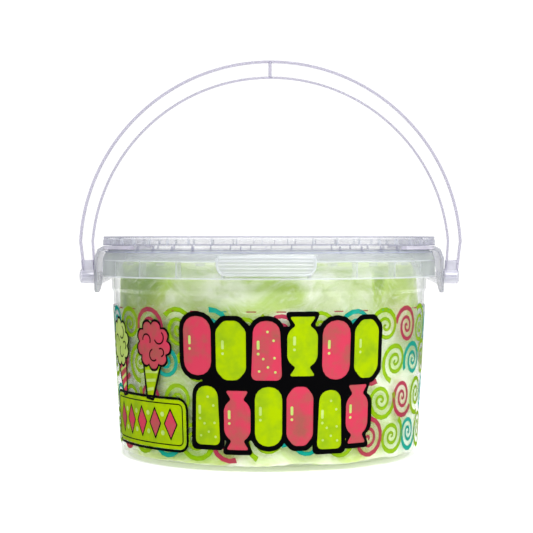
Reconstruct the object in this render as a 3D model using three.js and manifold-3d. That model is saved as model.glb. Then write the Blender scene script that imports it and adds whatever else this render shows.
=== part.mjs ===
// A clear moulded tub of spun sugar with a push-fit lid, a printed film sleeve and a swinging bail handle.
// Millimetres, +Z up. The origin is the middle of the foot, X runs through the two ears, -Y is the front.
import * as THREE from "three";
import { mergeVertices } from "three/addons/utils/BufferGeometryUtils.js";
import Module from "manifold-3d";

// ---- Driving dimensions -------------------------------------------------------------------------

const FACETS = 44; // flats round every large turned piece, one for each rib
const SMALL_FACETS = 16; // flats round a pin or an eye
const FIT = 0.3; // clearance between neighbouring pieces
const ROOT = 0.3; // how far a rib or a rod runs into what carries it
const FRONT = -90; // azimuth of the front, in degrees from +X

// Tub: a tapering wall on a stacking foot, with a collar, a neck and an outer skirt at its mouth.
const WALL = 0.95;
const FOOT_RADIUS = 70.7;
const FOOT_WIDTH = 3.3;
const HEEL = 0.7;
const FLOOR_UNDERSIDE = 1.2;
const FLOOR_TOP = 2.3;
const WALL_RADIUS_MIDDLE = 73.25;
const WALL_MIDDLE_HEIGHT = 49;
const WALL_RADIUS_TOP = 74.7;
const COLLAR_STEP_HEIGHT = 77.5;
const COLLAR_STEP_RISE = 0.8;
const COLLAR_RADIUS = 75.5;
const NECK_RADIUS = 76.7;
const NECK_WALL = 1.3;
const NECK_FOOT = 95.2;
const RIM_HEIGHT = 101.8;
const SHOULDER_HEIGHT = 97.2;
const SKIRT_RADIUS = 79.7;
const SKIRT_WALL = 1;
const SKIRT_TOP = 92.3;
const SKIRT_BOTTOM = 84.5;
const SHOULDER_UNDERSIDE = [[78, 94.1], [78.7, 92.1]]; // [radius, height], outwards
const SHOULDER_OUTSIDE = [[79, 94.8], [78.1, 96.3]]; // [radius, height], inwards

// Ribs on the tub's neck and behind its skirt. The skirt's are in degrees from the front and the back.
const RIBS_ROUND = 44;
const RIB_WIDTH = 0.9;
const NECK_RIB_TOP_RADIUS = 77.3;
const NECK_RIB_FOOT = [[78.6, 95.5], [76.4, 96.2]]; // [radius, height]
const RIBS_FROM_TAB = 2; // the neck rib left out to each side of the front's middle one
const SKIRT_RIB_FIRST = 13.95;
const SKIRT_RIB_PITCH = 16.2;
const SKIRT_RIBS_A_QUARTER = 4;
const SKIRT_RIB_LIFT = 0.6;

// Tear tab: a ridged pad moulded on the front of the skirt.
const TAB_HALF_WIDTH = 21.8;
const TAB_TOP = 95;
const TAB_BOTTOM = 86.1;
const TAB_CORNER = 3.6;
const TAB_RIM = 1.1;
const TAB_PAD_RADIUS = 80.2;
const TAB_RIM_RADIUS = 81;
const TAB_RIDGES = 5;
const TAB_RIDGE_RADIUS = 80.7;
const TAB_RIDGE_SHARE = 0.4; // of the ridges' pitch

// Ears: curved plates outboard of the skirt, which carry the handle's pins.
const EAR_RADIUS = 83.9;
const EAR_WALL = 1.3;
const EAR_TIP = 76.6;
const EAR_TIP_CORNER = 6;
const EAR_HALF_WIDTH_TOP = 20.5;
const EAR_HALF_WIDTH_TIP = 8;
const EAR_SHOULDER = [[83.9, 93.4], [82.3, 97.5]]; // [radius, height], inwards
const EAR_SHOULDER_UNDERSIDE = [[79, 97.5], [81.6, 96.2], [82.6, 93]]; // [radius, height], outwards
const EAR_BAND_SPAN = 38; // degrees to each side of the ear's middle
const EAR_BAND_RADIUS = 79.5;
const EAR_BAND_BOTTOM = 97.5;
const EAR_WEB_OFFSETS = [-4, 4]; // degrees
const EAR_WEB_TOP = 86.5;
const EAR_WEB_FOOT = 79.8;
const EAR_WEB_HEEL = 1; // how far its lower corner stands off the collar

// Pivot of the handle, on the ears.
const PIVOT_HEIGHT = 84.4;
const PIN_RADIUS = 2;
const PIN_HEAD_RADIUS = 3.2;
const PIN_HEAD_START = 91;
const PIN_HEAD_END = 92;
const EYE_RADIUS = 3.55;
const EYE_BORE = 2.1;
const EYE_START = 84.3;
const EYE_END = 90.7;

// Handle: two flanges joined by a thin web, bent to a half circle over straight legs.
const HANDLE_DEPTH = 6;
const OUTER_ARC_RADIUS = 92.8;
const OUTER_ARC_HEIGHT = 95.8;
const INNER_ARC_RADIUS = 85.7;
const INNER_ARC_HEIGHT = 93.9;
const LEG_TOP = 101.2;
const LEG_FOOT = 86;
const LEG_FOOT_OUTER = 90.3;
const LEG_FOOT_INNER = 84.4;
const FLANGE = 1.25;
const WEB = 1;
const POCKET_FOOT = 92.2;
const CROWN_RIB = 1.5;
const ARC_STEPS = 26;

// Lid: a recessed panel inside a hooked ring that presses over the tub's rim.
const LID_RADIUS = 79.6;
const LID_TOP = 103.4;
const LID_SKIRT_BOTTOM = 99.3;
const LID_WALL = 1;
const PANEL_UNDERSIDE = 92.2;
const PANEL_TOP = 93.2;
const PLUG_RADIUS = 74.7;
const PLUG_CHAMFER = 1.2;
const STACKING_RING_RADIUS = 66;
const STACKING_RING_RISE = 0.8;
const LID_EDGE = 0.3;
const LID_TURN = -1.3; // degrees that the lid sits turned on the tub

// Spun sugar and its sleeve.
const SUGAR_RADIUS = 70.6;
const SUGAR_TOP = 91.8;
const SUGAR_SHOULDER = 5;
const SUGAR_RINGS = 7;
const SUGAR_FACETS = 40;
const SLEEVE_BOTTOM = 5.5;
const SLEEVE_TOP = 71;
const SLEEVE_FILM = 0.25;

// ---- Shapes and solids --------------------------------------------------------------------------

const wasm = await Module();
wasm.setup();

const radians = THREE.MathUtils.degToRad;
const lerp = THREE.MathUtils.lerp;

// A closed geometry as a solid that can be joined and cut.
function solidOf(geometry) {
  const bare = geometry.clone();
  bare.deleteAttribute("normal");
  bare.deleteAttribute("uv");
  const merged = mergeVertices(bare, 1e-4);
  const mesh = new wasm.Mesh({
    numProp: 3,
    vertProperties: merged.getAttribute("position").array,
    triVerts: new Uint32Array(merged.index.array),
  });
  return new wasm.Manifold(mesh);
}

function geometryOf(solid) {
  const mesh = solid.getMesh();
  const geometry = new THREE.BufferGeometry();
  geometry.setAttribute("position", new THREE.BufferAttribute(mesh.vertProperties, 3));
  geometry.setIndex(new THREE.BufferAttribute(mesh.triVerts, 1));
  geometry.computeVertexNormals();
  return geometry;
}

const join = (solids) => solids.reduce((whole, solid) => whole.add(solid));

// A profile of [radius, height] points turned about Z. It runs outwards, up and back to the axis.
function turned(profile, facets = FACETS) {
  const points = profile.map(([radius, height]) => new THREE.Vector2(radius, height));
  const geometry = new THREE.LatheGeometry(points, facets);
  geometry.rotateX(Math.PI / 2);
  return solidOf(geometry);
}

// The same for a ring clear of the axis: the profile is closed on its first point.
const turnedRing = (profile, facets) => turned([...profile, profile[0]], facets);

function shapeOf(points) {
  return new THREE.Shape(points.map(([x, y]) => new THREE.Vector2(x, y)));
}

// An X-Z outline made thick along Y, with its middle on the X-Z plane.
function slab(shape, thickness, steps = 12) {
  const geometry = new THREE.ExtrudeGeometry(shape, {
    depth: thickness,
    bevelEnabled: false,
    curveSegments: steps,
  });
  geometry.rotateX(Math.PI / 2);
  geometry.translate(0, thickness / 2, 0);
  return geometry;
}

// A radial fin: its outline is in [radius, height], and it stands at an azimuth.
function fin(outline, thickness, azimuth) {
  const geometry = slab(shapeOf(outline), thickness);
  geometry.rotateZ(radians(azimuth));
  return solidOf(geometry);
}

// A tall wedge about an azimuth, which cuts a sector out of a ring.
function wedge(azimuth, halfAngle) {
  const reach = 2 * LID_RADIUS;
  const start = radians(azimuth - halfAngle);
  const end = radians(azimuth + halfAngle);
  const shape = new THREE.Shape();
  shape.moveTo(0, 0);
  shape.lineTo(reach * Math.cos(start), reach * Math.sin(start));
  shape.absarc(0, 0, reach, start, end, false);
  const geometry = new THREE.ExtrudeGeometry(shape, {
    depth: LID_TOP,
    bevelEnabled: false,
    curveSegments: 8,
  });
  return solidOf(geometry);
}

// A rod along X between two stations, turned about the pivot's axis.
function rod(radius, start, end) {
  const geometry = new THREE.CylinderGeometry(radius, radius, end - start, SMALL_FACETS);
  geometry.rotateZ(-Math.PI / 2);
  geometry.translate((start + end) / 2, 0, PIVOT_HEIGHT);
  return solidOf(geometry);
}

const mirroredInX = (solid) => solid.mirror([1, 0, 0]);

// A plate outline with a straight top and two rounded lower corners, centred on zero.
function tongueShape(halfTop, halfBottom, top, bottom, corner) {
  const shape = new THREE.Shape();
  shape.moveTo(-halfTop, top);
  shape.lineTo(-halfBottom, bottom + corner);
  shape.quadraticCurveTo(-halfBottom, bottom, -halfBottom + corner, bottom);
  shape.lineTo(halfBottom - corner, bottom);
  shape.quadraticCurveTo(halfBottom, bottom, halfBottom, bottom + corner);
  shape.lineTo(halfTop, top);
  shape.closePath();
  return shape;
}

// ---- Tub ----------------------------------------------------------------------------------------

// Outer radius of the tapering wall at a height.
function wallRadius(height) {
  if (height < WALL_MIDDLE_HEIGHT) {
    return lerp(FOOT_RADIUS, WALL_RADIUS_MIDDLE, height / WALL_MIDDLE_HEIGHT);
  }
  const upper = (height - WALL_MIDDLE_HEIGHT) / (COLLAR_STEP_HEIGHT - WALL_MIDDLE_HEIGHT);
  return lerp(WALL_RADIUS_MIDDLE, WALL_RADIUS_TOP, upper);
}

function tubShell() {
  const mouth = NECK_RADIUS - NECK_WALL;
  return turned([
    [0, FLOOR_UNDERSIDE],
    [FOOT_RADIUS - FOOT_WIDTH - FLOOR_UNDERSIDE, FLOOR_UNDERSIDE],
    [FOOT_RADIUS - FOOT_WIDTH, 0],
    [FOOT_RADIUS - HEEL, 0],
    [FOOT_RADIUS, HEEL],
    [WALL_RADIUS_MIDDLE, WALL_MIDDLE_HEIGHT],
    [WALL_RADIUS_TOP, COLLAR_STEP_HEIGHT],
    [COLLAR_RADIUS, COLLAR_STEP_HEIGHT + COLLAR_STEP_RISE],
    [COLLAR_RADIUS + 0.5, NECK_FOOT],
    ...SHOULDER_UNDERSIDE,
    [SKIRT_RADIUS - SKIRT_WALL, SKIRT_BOTTOM],
    [SKIRT_RADIUS, SKIRT_BOTTOM],
    [SKIRT_RADIUS, SKIRT_TOP],
    ...SHOULDER_OUTSIDE,
    [NECK_RADIUS, SHOULDER_HEIGHT],
    [NECK_RADIUS, RIM_HEIGHT],
    [mouth, RIM_HEIGHT],
    [mouth - 0.2, NECK_FOOT],
    [COLLAR_RADIUS - WALL, COLLAR_STEP_HEIGHT + COLLAR_STEP_RISE],
    [WALL_RADIUS_TOP - WALL, COLLAR_STEP_HEIGHT],
    [WALL_RADIUS_MIDDLE - WALL, WALL_MIDDLE_HEIGHT],
    [FOOT_RADIUS - WALL, FLOOR_TOP + 1],
    [FOOT_RADIUS - WALL - 1, FLOOR_TOP],
    [0, FLOOR_TOP],
  ]);
}

// True where an azimuth lies under the band that ties an ear to the neck.
function besideEar(azimuth) {
  const fromEar = Math.abs(THREE.MathUtils.euclideanModulo(azimuth + 90, 180) - 90);
  return fromEar < EAR_BAND_SPAN + 2;
}

// Small gussets round the neck, above the shoulder. Two are left out beside the tear tab.
function neckRibs() {
  const top = LID_SKIRT_BOTTOM - FIT;
  const outline = [[NECK_RADIUS - ROOT, top], [NECK_RIB_TOP_RADIUS, top], ...NECK_RIB_FOOT];
  const ribs = [];
  for (let i = 0; i < RIBS_ROUND; i += 1) {
    const azimuth = FRONT + (i * 360) / RIBS_ROUND;
    const besideTab = i === RIBS_FROM_TAB || i === RIBS_ROUND - RIBS_FROM_TAB;
    if (!besideTab && !besideEar(azimuth)) ribs.push(fin(outline, RIB_WIDTH, azimuth));
  }
  return ribs;
}

// Ribs that stiffen the skirt from behind, at the same stations to each side of the front and the back.
function skirtRibs() {
  const inner = COLLAR_RADIUS - ROOT;
  const outer = SKIRT_RADIUS - SKIRT_WALL + ROOT;
  const foot = SKIRT_BOTTOM + SKIRT_RIB_LIFT;
  const outline = [[inner, foot], [outer, foot], [outer, SKIRT_TOP], [inner, SKIRT_TOP]];
  const ribs = [];
  for (let i = 0; i < SKIRT_RIBS_A_QUARTER; i += 1) {
    const offset = SKIRT_RIB_FIRST + i * SKIRT_RIB_PITCH;
    const azimuths = [FRONT - offset, FRONT + offset, -FRONT - offset, -FRONT + offset];
    azimuths.forEach((azimuth) => ribs.push(fin(outline, RIB_WIDTH, azimuth)));
  }
  return ribs;
}

// A block in front of the skirt, cut to an outline as seen from the front.
function frontBlock(shape) {
  const geometry = slab(shape, SKIRT_RADIUS, 6);
  geometry.translate(0, -SKIRT_RADIUS, 0);
  return solidOf(geometry);
}

// The tear tab: a thin pad with a raised rim and level grip ridges.
function tearTab() {
  const root = SKIRT_RADIUS - SKIRT_WALL / 2;
  const ring = (outer, low, high) =>
    turnedRing([
      [root, low],
      [outer, low],
      [outer, high],
      [root, high],
    ]).intersect(wedge(FRONT, 20));
  const outline = tongueShape(TAB_HALF_WIDTH, TAB_HALF_WIDTH, TAB_TOP, TAB_BOTTOM, TAB_CORNER);
  const inset = tongueShape(
    TAB_HALF_WIDTH - TAB_RIM,
    TAB_HALF_WIDTH - TAB_RIM,
    TAB_TOP + 1,
    TAB_BOTTOM + TAB_RIM,
    TAB_CORNER - TAB_RIM,
  );
  const whole = frontBlock(outline);
  const middle = frontBlock(inset);
  const pad = ring(TAB_PAD_RADIUS, TAB_BOTTOM, TAB_TOP).intersect(whole);
  const rim = ring(TAB_RIM_RADIUS, TAB_BOTTOM, TAB_TOP).intersect(whole).subtract(middle);
  const pitch = (TAB_TOP - TAB_BOTTOM - TAB_RIM) / TAB_RIDGES;
  const ridges = [];
  for (let i = 0; i < TAB_RIDGES; i += 1) {
    const low = TAB_BOTTOM + TAB_RIM + (i + (1 - TAB_RIDGE_SHARE) / 2) * pitch;
    ridges.push(ring(TAB_RIDGE_RADIUS, low, low + TAB_RIDGE_SHARE * pitch).intersect(middle));
  }
  return join([pad, rim, ...ridges]);
}

// The right-hand ear: a sloped shoulder that turns down into a plate, with webs, a band and a pin.
function ear() {
  const inside = EAR_RADIUS - EAR_WALL;
  const root = NECK_RADIUS - ROOT;
  const bandTop = LID_SKIRT_BOTTOM - FIT;
  const belowTip = EAR_TIP - 1;
  const plateRing = turnedRing([
    [inside, belowTip],
    [EAR_RADIUS, belowTip],
    ...EAR_SHOULDER,
    [EAR_BAND_RADIUS, bandTop],
    [root, bandTop],
    [root, EAR_BAND_BOTTOM],
    ...EAR_SHOULDER_UNDERSIDE,
  ]);
  const outline = tongueShape(EAR_HALF_WIDTH_TOP, EAR_HALF_WIDTH_TIP, RIM_HEIGHT, EAR_TIP, EAR_TIP_CORNER);
  const cutter = slab(outline, LID_RADIUS, 6);
  cutter.rotateZ(Math.PI / 2);
  cutter.translate(LID_RADIUS, 0, 0);
  const plate = plateRing.intersect(solidOf(cutter));
  const band = turnedRing([
    [root, EAR_BAND_BOTTOM],
    [EAR_BAND_RADIUS, EAR_BAND_BOTTOM],
    [EAR_BAND_RADIUS, bandTop],
    [root, bandTop],
  ]).intersect(wedge(0, EAR_BAND_SPAN));
  const webInside = COLLAR_RADIUS - ROOT;
  const webOutline = [
    [webInside, EAR_WEB_TOP],
    [inside + ROOT, EAR_WEB_TOP],
    [inside + ROOT, EAR_WEB_FOOT],
    [COLLAR_RADIUS + EAR_WEB_HEEL, SKIRT_BOTTOM - EAR_WEB_HEEL / 2],
    [webInside, SKIRT_BOTTOM],
  ];
  const webs = EAR_WEB_OFFSETS.map((offset) => fin(webOutline, RIB_WIDTH, offset));
  const pin = rod(PIN_RADIUS, inside + ROOT, PIN_HEAD_END);
  const head = rod(PIN_HEAD_RADIUS, PIN_HEAD_START, PIN_HEAD_END);
  return join([plate, band, ...webs, pin, head]);
}

function tub() {
  const rightEar = ear();
  const pieces = [tubShell(), ...neckRibs(), ...skirtRibs(), tearTab(), rightEar, mirroredInX(rightEar)];
  return geometryOf(join(pieces));
}

// ---- Lid ----------------------------------------------------------------------------------------

function lid() {
  const inside = LID_RADIUS - LID_WALL;
  const rimClear = RIM_HEIGHT + FIT;
  const wellRadius = PLUG_RADIUS - LID_WALL;
  const shell = turned([
    [0, PANEL_UNDERSIDE],
    [PLUG_RADIUS - PLUG_CHAMFER, PANEL_UNDERSIDE],
    [PLUG_RADIUS, PANEL_UNDERSIDE + PLUG_CHAMFER],
    [NECK_RADIUS - NECK_WALL - 1.3 * FIT, rimClear],
    [inside, rimClear],
    [inside, LID_SKIRT_BOTTOM],
    [LID_RADIUS, LID_SKIRT_BOTTOM],
    [LID_RADIUS, LID_TOP - LID_EDGE],
    [LID_RADIUS - LID_EDGE, LID_TOP],
    [wellRadius + LID_EDGE, LID_TOP],
    [wellRadius, LID_TOP - LID_EDGE],
    [wellRadius, PANEL_TOP + LID_WALL],
    [wellRadius - LID_WALL, PANEL_TOP],
    [STACKING_RING_RADIUS + STACKING_RING_RISE, PANEL_TOP],
    [STACKING_RING_RADIUS, PANEL_TOP + STACKING_RING_RISE],
    [STACKING_RING_RADIUS - STACKING_RING_RISE, PANEL_TOP],
    [0, PANEL_TOP],
  ]);
  const ribFoot = LID_SKIRT_BOTTOM + 0.2;
  const ribInside = NECK_RADIUS + FIT;
  const ribOutside = inside + ROOT;
  const ribTop = rimClear + ROOT;
  const ribOutline = [[ribInside, ribFoot], [ribOutside, ribFoot], [ribOutside, ribTop], [ribInside, ribTop]];
  const ribs = [];
  for (let i = 0; i < RIBS_ROUND; i += 1) {
    ribs.push(fin(ribOutline, RIB_WIDTH, FRONT + LID_TURN + (i * 360) / RIBS_ROUND));
  }
  return geometryOf(join([shell, ...ribs]));
}

// ---- Handle -------------------------------------------------------------------------------------

// Angle at which an arc of the bail meets its straight leg.
const legAngle = (radius, centreHeight) => Math.asin((LEG_TOP - centreHeight) / radius);

// Half width of a leg's straight edge at a height, between its foot and its arc.
function legEdge(footHalfWidth, radius, centreHeight, height) {
  const topHalfWidth = radius * Math.cos(legAngle(radius, centreHeight));
  return lerp(footHalfWidth, topHalfWidth, (height - LEG_FOOT) / (LEG_TOP - LEG_FOOT));
}

// The whole bail as seen from the front, without its eyes.
function bailShape() {
  const outer = legAngle(OUTER_ARC_RADIUS, OUTER_ARC_HEIGHT);
  const inner = legAngle(INNER_ARC_RADIUS, INNER_ARC_HEIGHT);
  const shape = new THREE.Shape();
  shape.moveTo(LEG_FOOT_INNER, LEG_FOOT);
  shape.lineTo(LEG_FOOT_OUTER, LEG_FOOT);
  shape.absarc(0, OUTER_ARC_HEIGHT, OUTER_ARC_RADIUS, outer, Math.PI - outer, false);
  shape.lineTo(-LEG_FOOT_OUTER, LEG_FOOT);
  shape.lineTo(-LEG_FOOT_INNER, LEG_FOOT);
  shape.absarc(0, INNER_ARC_HEIGHT, INNER_ARC_RADIUS, Math.PI - inner, inner, true);
  shape.closePath();
  return shape;
}

// One pocket between the flanges, from the right leg's foot block up to the crown's cross rib.
function pocketShape() {
  const outerRadius = OUTER_ARC_RADIUS - FLANGE;
  const innerRadius = INNER_ARC_RADIUS + FLANGE;
  const outerStart = legAngle(outerRadius, OUTER_ARC_HEIGHT);
  const innerStart = legAngle(innerRadius, INNER_ARC_HEIGHT);
  const outerEnd = Math.acos(CROWN_RIB / 2 / outerRadius);
  const innerEnd = Math.acos(CROWN_RIB / 2 / innerRadius);
  const foot = (halfWidth, radius, centre) => legEdge(halfWidth, radius, centre, POCKET_FOOT);
  const footInner = foot(LEG_FOOT_INNER + FLANGE, innerRadius, INNER_ARC_HEIGHT);
  const footOuter = foot(LEG_FOOT_OUTER - FLANGE, outerRadius, OUTER_ARC_HEIGHT);
  const shape = new THREE.Shape();
  shape.moveTo(footInner, POCKET_FOOT);
  shape.lineTo(footOuter, POCKET_FOOT);
  shape.absarc(0, OUTER_ARC_HEIGHT, outerRadius, outerStart, outerEnd, false);
  shape.absarc(0, INNER_ARC_HEIGHT, innerRadius, innerEnd, innerStart, true);
  shape.closePath();
  return shape;
}

function handle() {
  const bail = solidOf(slab(bailShape(), HANDLE_DEPTH, ARC_STEPS));
  const eye = rod(EYE_RADIUS, EYE_START, EYE_END);
  const bore = rod(EYE_BORE, EYE_START - 1, EYE_END + 1);
  const pocketOffset = (WEB + HANDLE_DEPTH) / 2;
  const pocket = slab(pocketShape(), HANDLE_DEPTH, ARC_STEPS / 2);
  const front = solidOf(pocket.clone().translate(0, -pocketOffset, 0));
  const back = solidOf(pocket.clone().translate(0, pocketOffset, 0));
  const cuts = [bore, front, back, mirroredInX(bore), mirroredInX(front), mirroredInX(back)];
  return geometryOf(join([bail, eye, mirroredInX(eye)]).subtract(join(cuts)));
}

// ---- Spun sugar and sleeve ----------------------------------------------------------------------

// Radius of the packed floss: nearly upright, a little uneven, and never into the wall.
function sugarRadius(azimuth, height) {
  const lumps = 0.35 * Math.sin(3 * azimuth + height / 11) + 0.25 * Math.sin(7 * azimuth - height / 6);
  const free = SUGAR_RADIUS - 0.4 + lumps;
  const held = wallRadius(height) * Math.cos(Math.PI / FACETS) - WALL - FIT;
  return Math.min(free, held);
}

// The floss fills the tub from its floor to the lid's panel, with a rounded, uneven upper edge.
function sugar() {
  const floor = FLOOR_TOP + FIT;
  const rings = [];
  for (let i = 0; i <= SUGAR_RINGS; i += 1) {
    rings.push({ height: lerp(floor + 1.5, SUGAR_TOP - SUGAR_SHOULDER, i / SUGAR_RINGS), inset: 0 });
  }
  rings.unshift({ height: floor, inset: 2 });
  rings.push({ height: SUGAR_TOP - 1.6, inset: 1.6 }, { height: SUGAR_TOP, inset: SUGAR_SHOULDER });
  const profile = [[0, floor]];
  rings.forEach(({ height, inset }) => profile.push([SUGAR_RADIUS - inset, height]));
  profile.push([0, SUGAR_TOP]);
  const points = profile.map(([radius, height]) => new THREE.Vector2(radius, height));
  const geometry = new THREE.LatheGeometry(points, SUGAR_FACETS);
  geometry.rotateX(Math.PI / 2);
  const position = geometry.getAttribute("position");
  const point = new THREE.Vector3();
  for (let i = 0; i < position.count; i += 1) {
    point.fromBufferAttribute(position, i);
    const radius = Math.hypot(point.x, point.y);
    if (radius < 1) continue;
    const azimuth = Math.atan2(point.y, point.x);
    const change = sugarRadius(azimuth, point.z) / SUGAR_RADIUS;
    position.setXYZ(i, point.x * change, point.y * change, point.z);
  }
  return geometryOf(solidOf(geometry));
}

// The printed film: a thin cone-shaped ring just clear of the wall.
function sleeve() {
  const heights = [SLEEVE_BOTTOM, WALL_MIDDLE_HEIGHT, SLEEVE_TOP];
  const inner = heights.map((height) => [wallRadius(height) + FIT, height]);
  const outer = inner.map(([radius, height]) => [radius + SLEEVE_FILM, height]);
  return geometryOf(turnedRing([...outer, ...inner.reverse()]));
}

// ---- Assembly -----------------------------------------------------------------------------------

function piece(name, geometry, colour, roughness, opacity = 1) {
  const material = new THREE.MeshStandardMaterial({
    color: new THREE.Color(colour),
    roughness,
    metalness: 0,
    opacity,
    transparent: opacity < 1,
  });
  const mesh = new THREE.Mesh(geometry, material);
  mesh.name = name;
  return mesh;
}

const pack = new THREE.Group();
pack.add(piece("tub", tub(), "#dfe5e3", 0.15, 0.35));
pack.add(piece("lid", lid(), "#e4e5ea", 0.15, 0.35));
pack.add(piece("spun_sugar", sugar(), "#c5d89a", 0.95));
pack.add(piece("print_sleeve", sleeve(), "#a3c90f", 0.3, 0.6));

const swing = new THREE.Group();
swing.add(piece("handle", handle(), "#dcdbe6", 0.2, 0.5));
pack.add(swing);

export default pack;
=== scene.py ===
"""A clear lidded tub of cotton candy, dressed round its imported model.

Lengths and places are in millimetres until an operator takes them, and Blender works in metres. Z is up, X runs
through the tub's two ears and the front, where the tear tab is, faces -Y.
"""

import logging
import math
import random
from collections.abc import Callable, Iterable, Iterator, Sequence
from contextlib import contextmanager
from dataclasses import dataclass, field
from enum import Enum
from typing import Any, NamedTuple

import bmesh
import bpy
import numpy as np
from mathutils import Matrix, Vector

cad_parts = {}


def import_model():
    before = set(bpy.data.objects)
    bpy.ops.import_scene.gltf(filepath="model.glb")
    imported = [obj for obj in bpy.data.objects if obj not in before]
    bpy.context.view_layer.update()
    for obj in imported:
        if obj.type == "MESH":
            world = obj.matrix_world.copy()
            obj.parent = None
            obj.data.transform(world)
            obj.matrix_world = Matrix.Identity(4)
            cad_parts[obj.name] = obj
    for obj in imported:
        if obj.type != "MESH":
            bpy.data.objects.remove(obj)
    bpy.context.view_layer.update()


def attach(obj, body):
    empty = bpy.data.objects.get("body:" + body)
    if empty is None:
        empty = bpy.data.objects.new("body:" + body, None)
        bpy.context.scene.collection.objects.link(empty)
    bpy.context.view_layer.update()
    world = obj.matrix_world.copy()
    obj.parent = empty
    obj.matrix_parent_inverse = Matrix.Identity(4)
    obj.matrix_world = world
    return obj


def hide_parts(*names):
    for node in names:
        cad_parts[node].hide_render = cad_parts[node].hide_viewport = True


log = logging.getLogger("cotton_candy")

MM = 0.001  # metres
WELD = 1e-6  # metres; points closer than this are one
NEAR = 0.02  # millimetres; how close a picked point lies to the place that names it
BITE = 0.2  # millimetres; how far a rib reaches into the wall that it stands on
TURN_STEPS = 176  # steps round a turned piece, four for each of the moulding's 44 stations
ROUNDING_STEPS = 4
SMOOTH_UNDER = math.radians(32)
PLASTIC_IOR = 1.49  # polypropylene


# ---- Bench: operators on one mesh ----


class Element(Enum):
    """What is picked in edit mode."""

    POINT = "VERT"
    EDGE = "EDGE"
    FACE = "FACE"


class Combine(Enum):
    """How one solid changes another."""

    JOIN = "UNION"
    TAKE_AWAY = "DIFFERENCE"
    KEEP_COMMON = "INTERSECT"


class Corner(NamedTuple):
    """A corner of an outline: how far across, how high, and how far its rounding reaches along each side."""

    x: float
    z: float
    rounding: float = 0.0


def rectangle(left: float, right: float, low: float, high: float, rounding: float = 0.0) -> list[Corner]:
    """Give a rectangle's outline, with its corners rounded alike."""
    return [Corner(x, z, rounding) for x, z in ((left, low), (right, low), (right, high), (left, high))]


def metres(*lengths: float) -> Vector:
    """Turn millimetres to the vector of metres that an operator takes."""
    return Vector(lengths) * MM


def deselect_all() -> None:
    """Leave no object selected, because an operator acts on all that is."""
    bpy.ops.object.select_all(action="DESELECT")


def pick_all() -> None:
    """In edit mode, select the whole mesh."""
    bpy.ops.mesh.select_all(action="SELECT")


def extrude(step: Vector) -> None:
    """In edit mode, extrude what is selected by a step in metres."""
    bpy.ops.mesh.extrude_region_move(TRANSFORM_OT_translate={"value": step})


class Part(Enum):
    """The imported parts, each with its body, its material slot and its node."""

    TUB = ("pack", "clear_tub", "tub")
    LID = ("pack", "clear_lid", "lid")
    FLOSS = ("pack", "spun_sugar", "spun_sugar")
    SLEEVE = ("pack", "printed_film", "print_sleeve")
    HANDLE = ("handle", "clear_handle", "handle")


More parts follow.
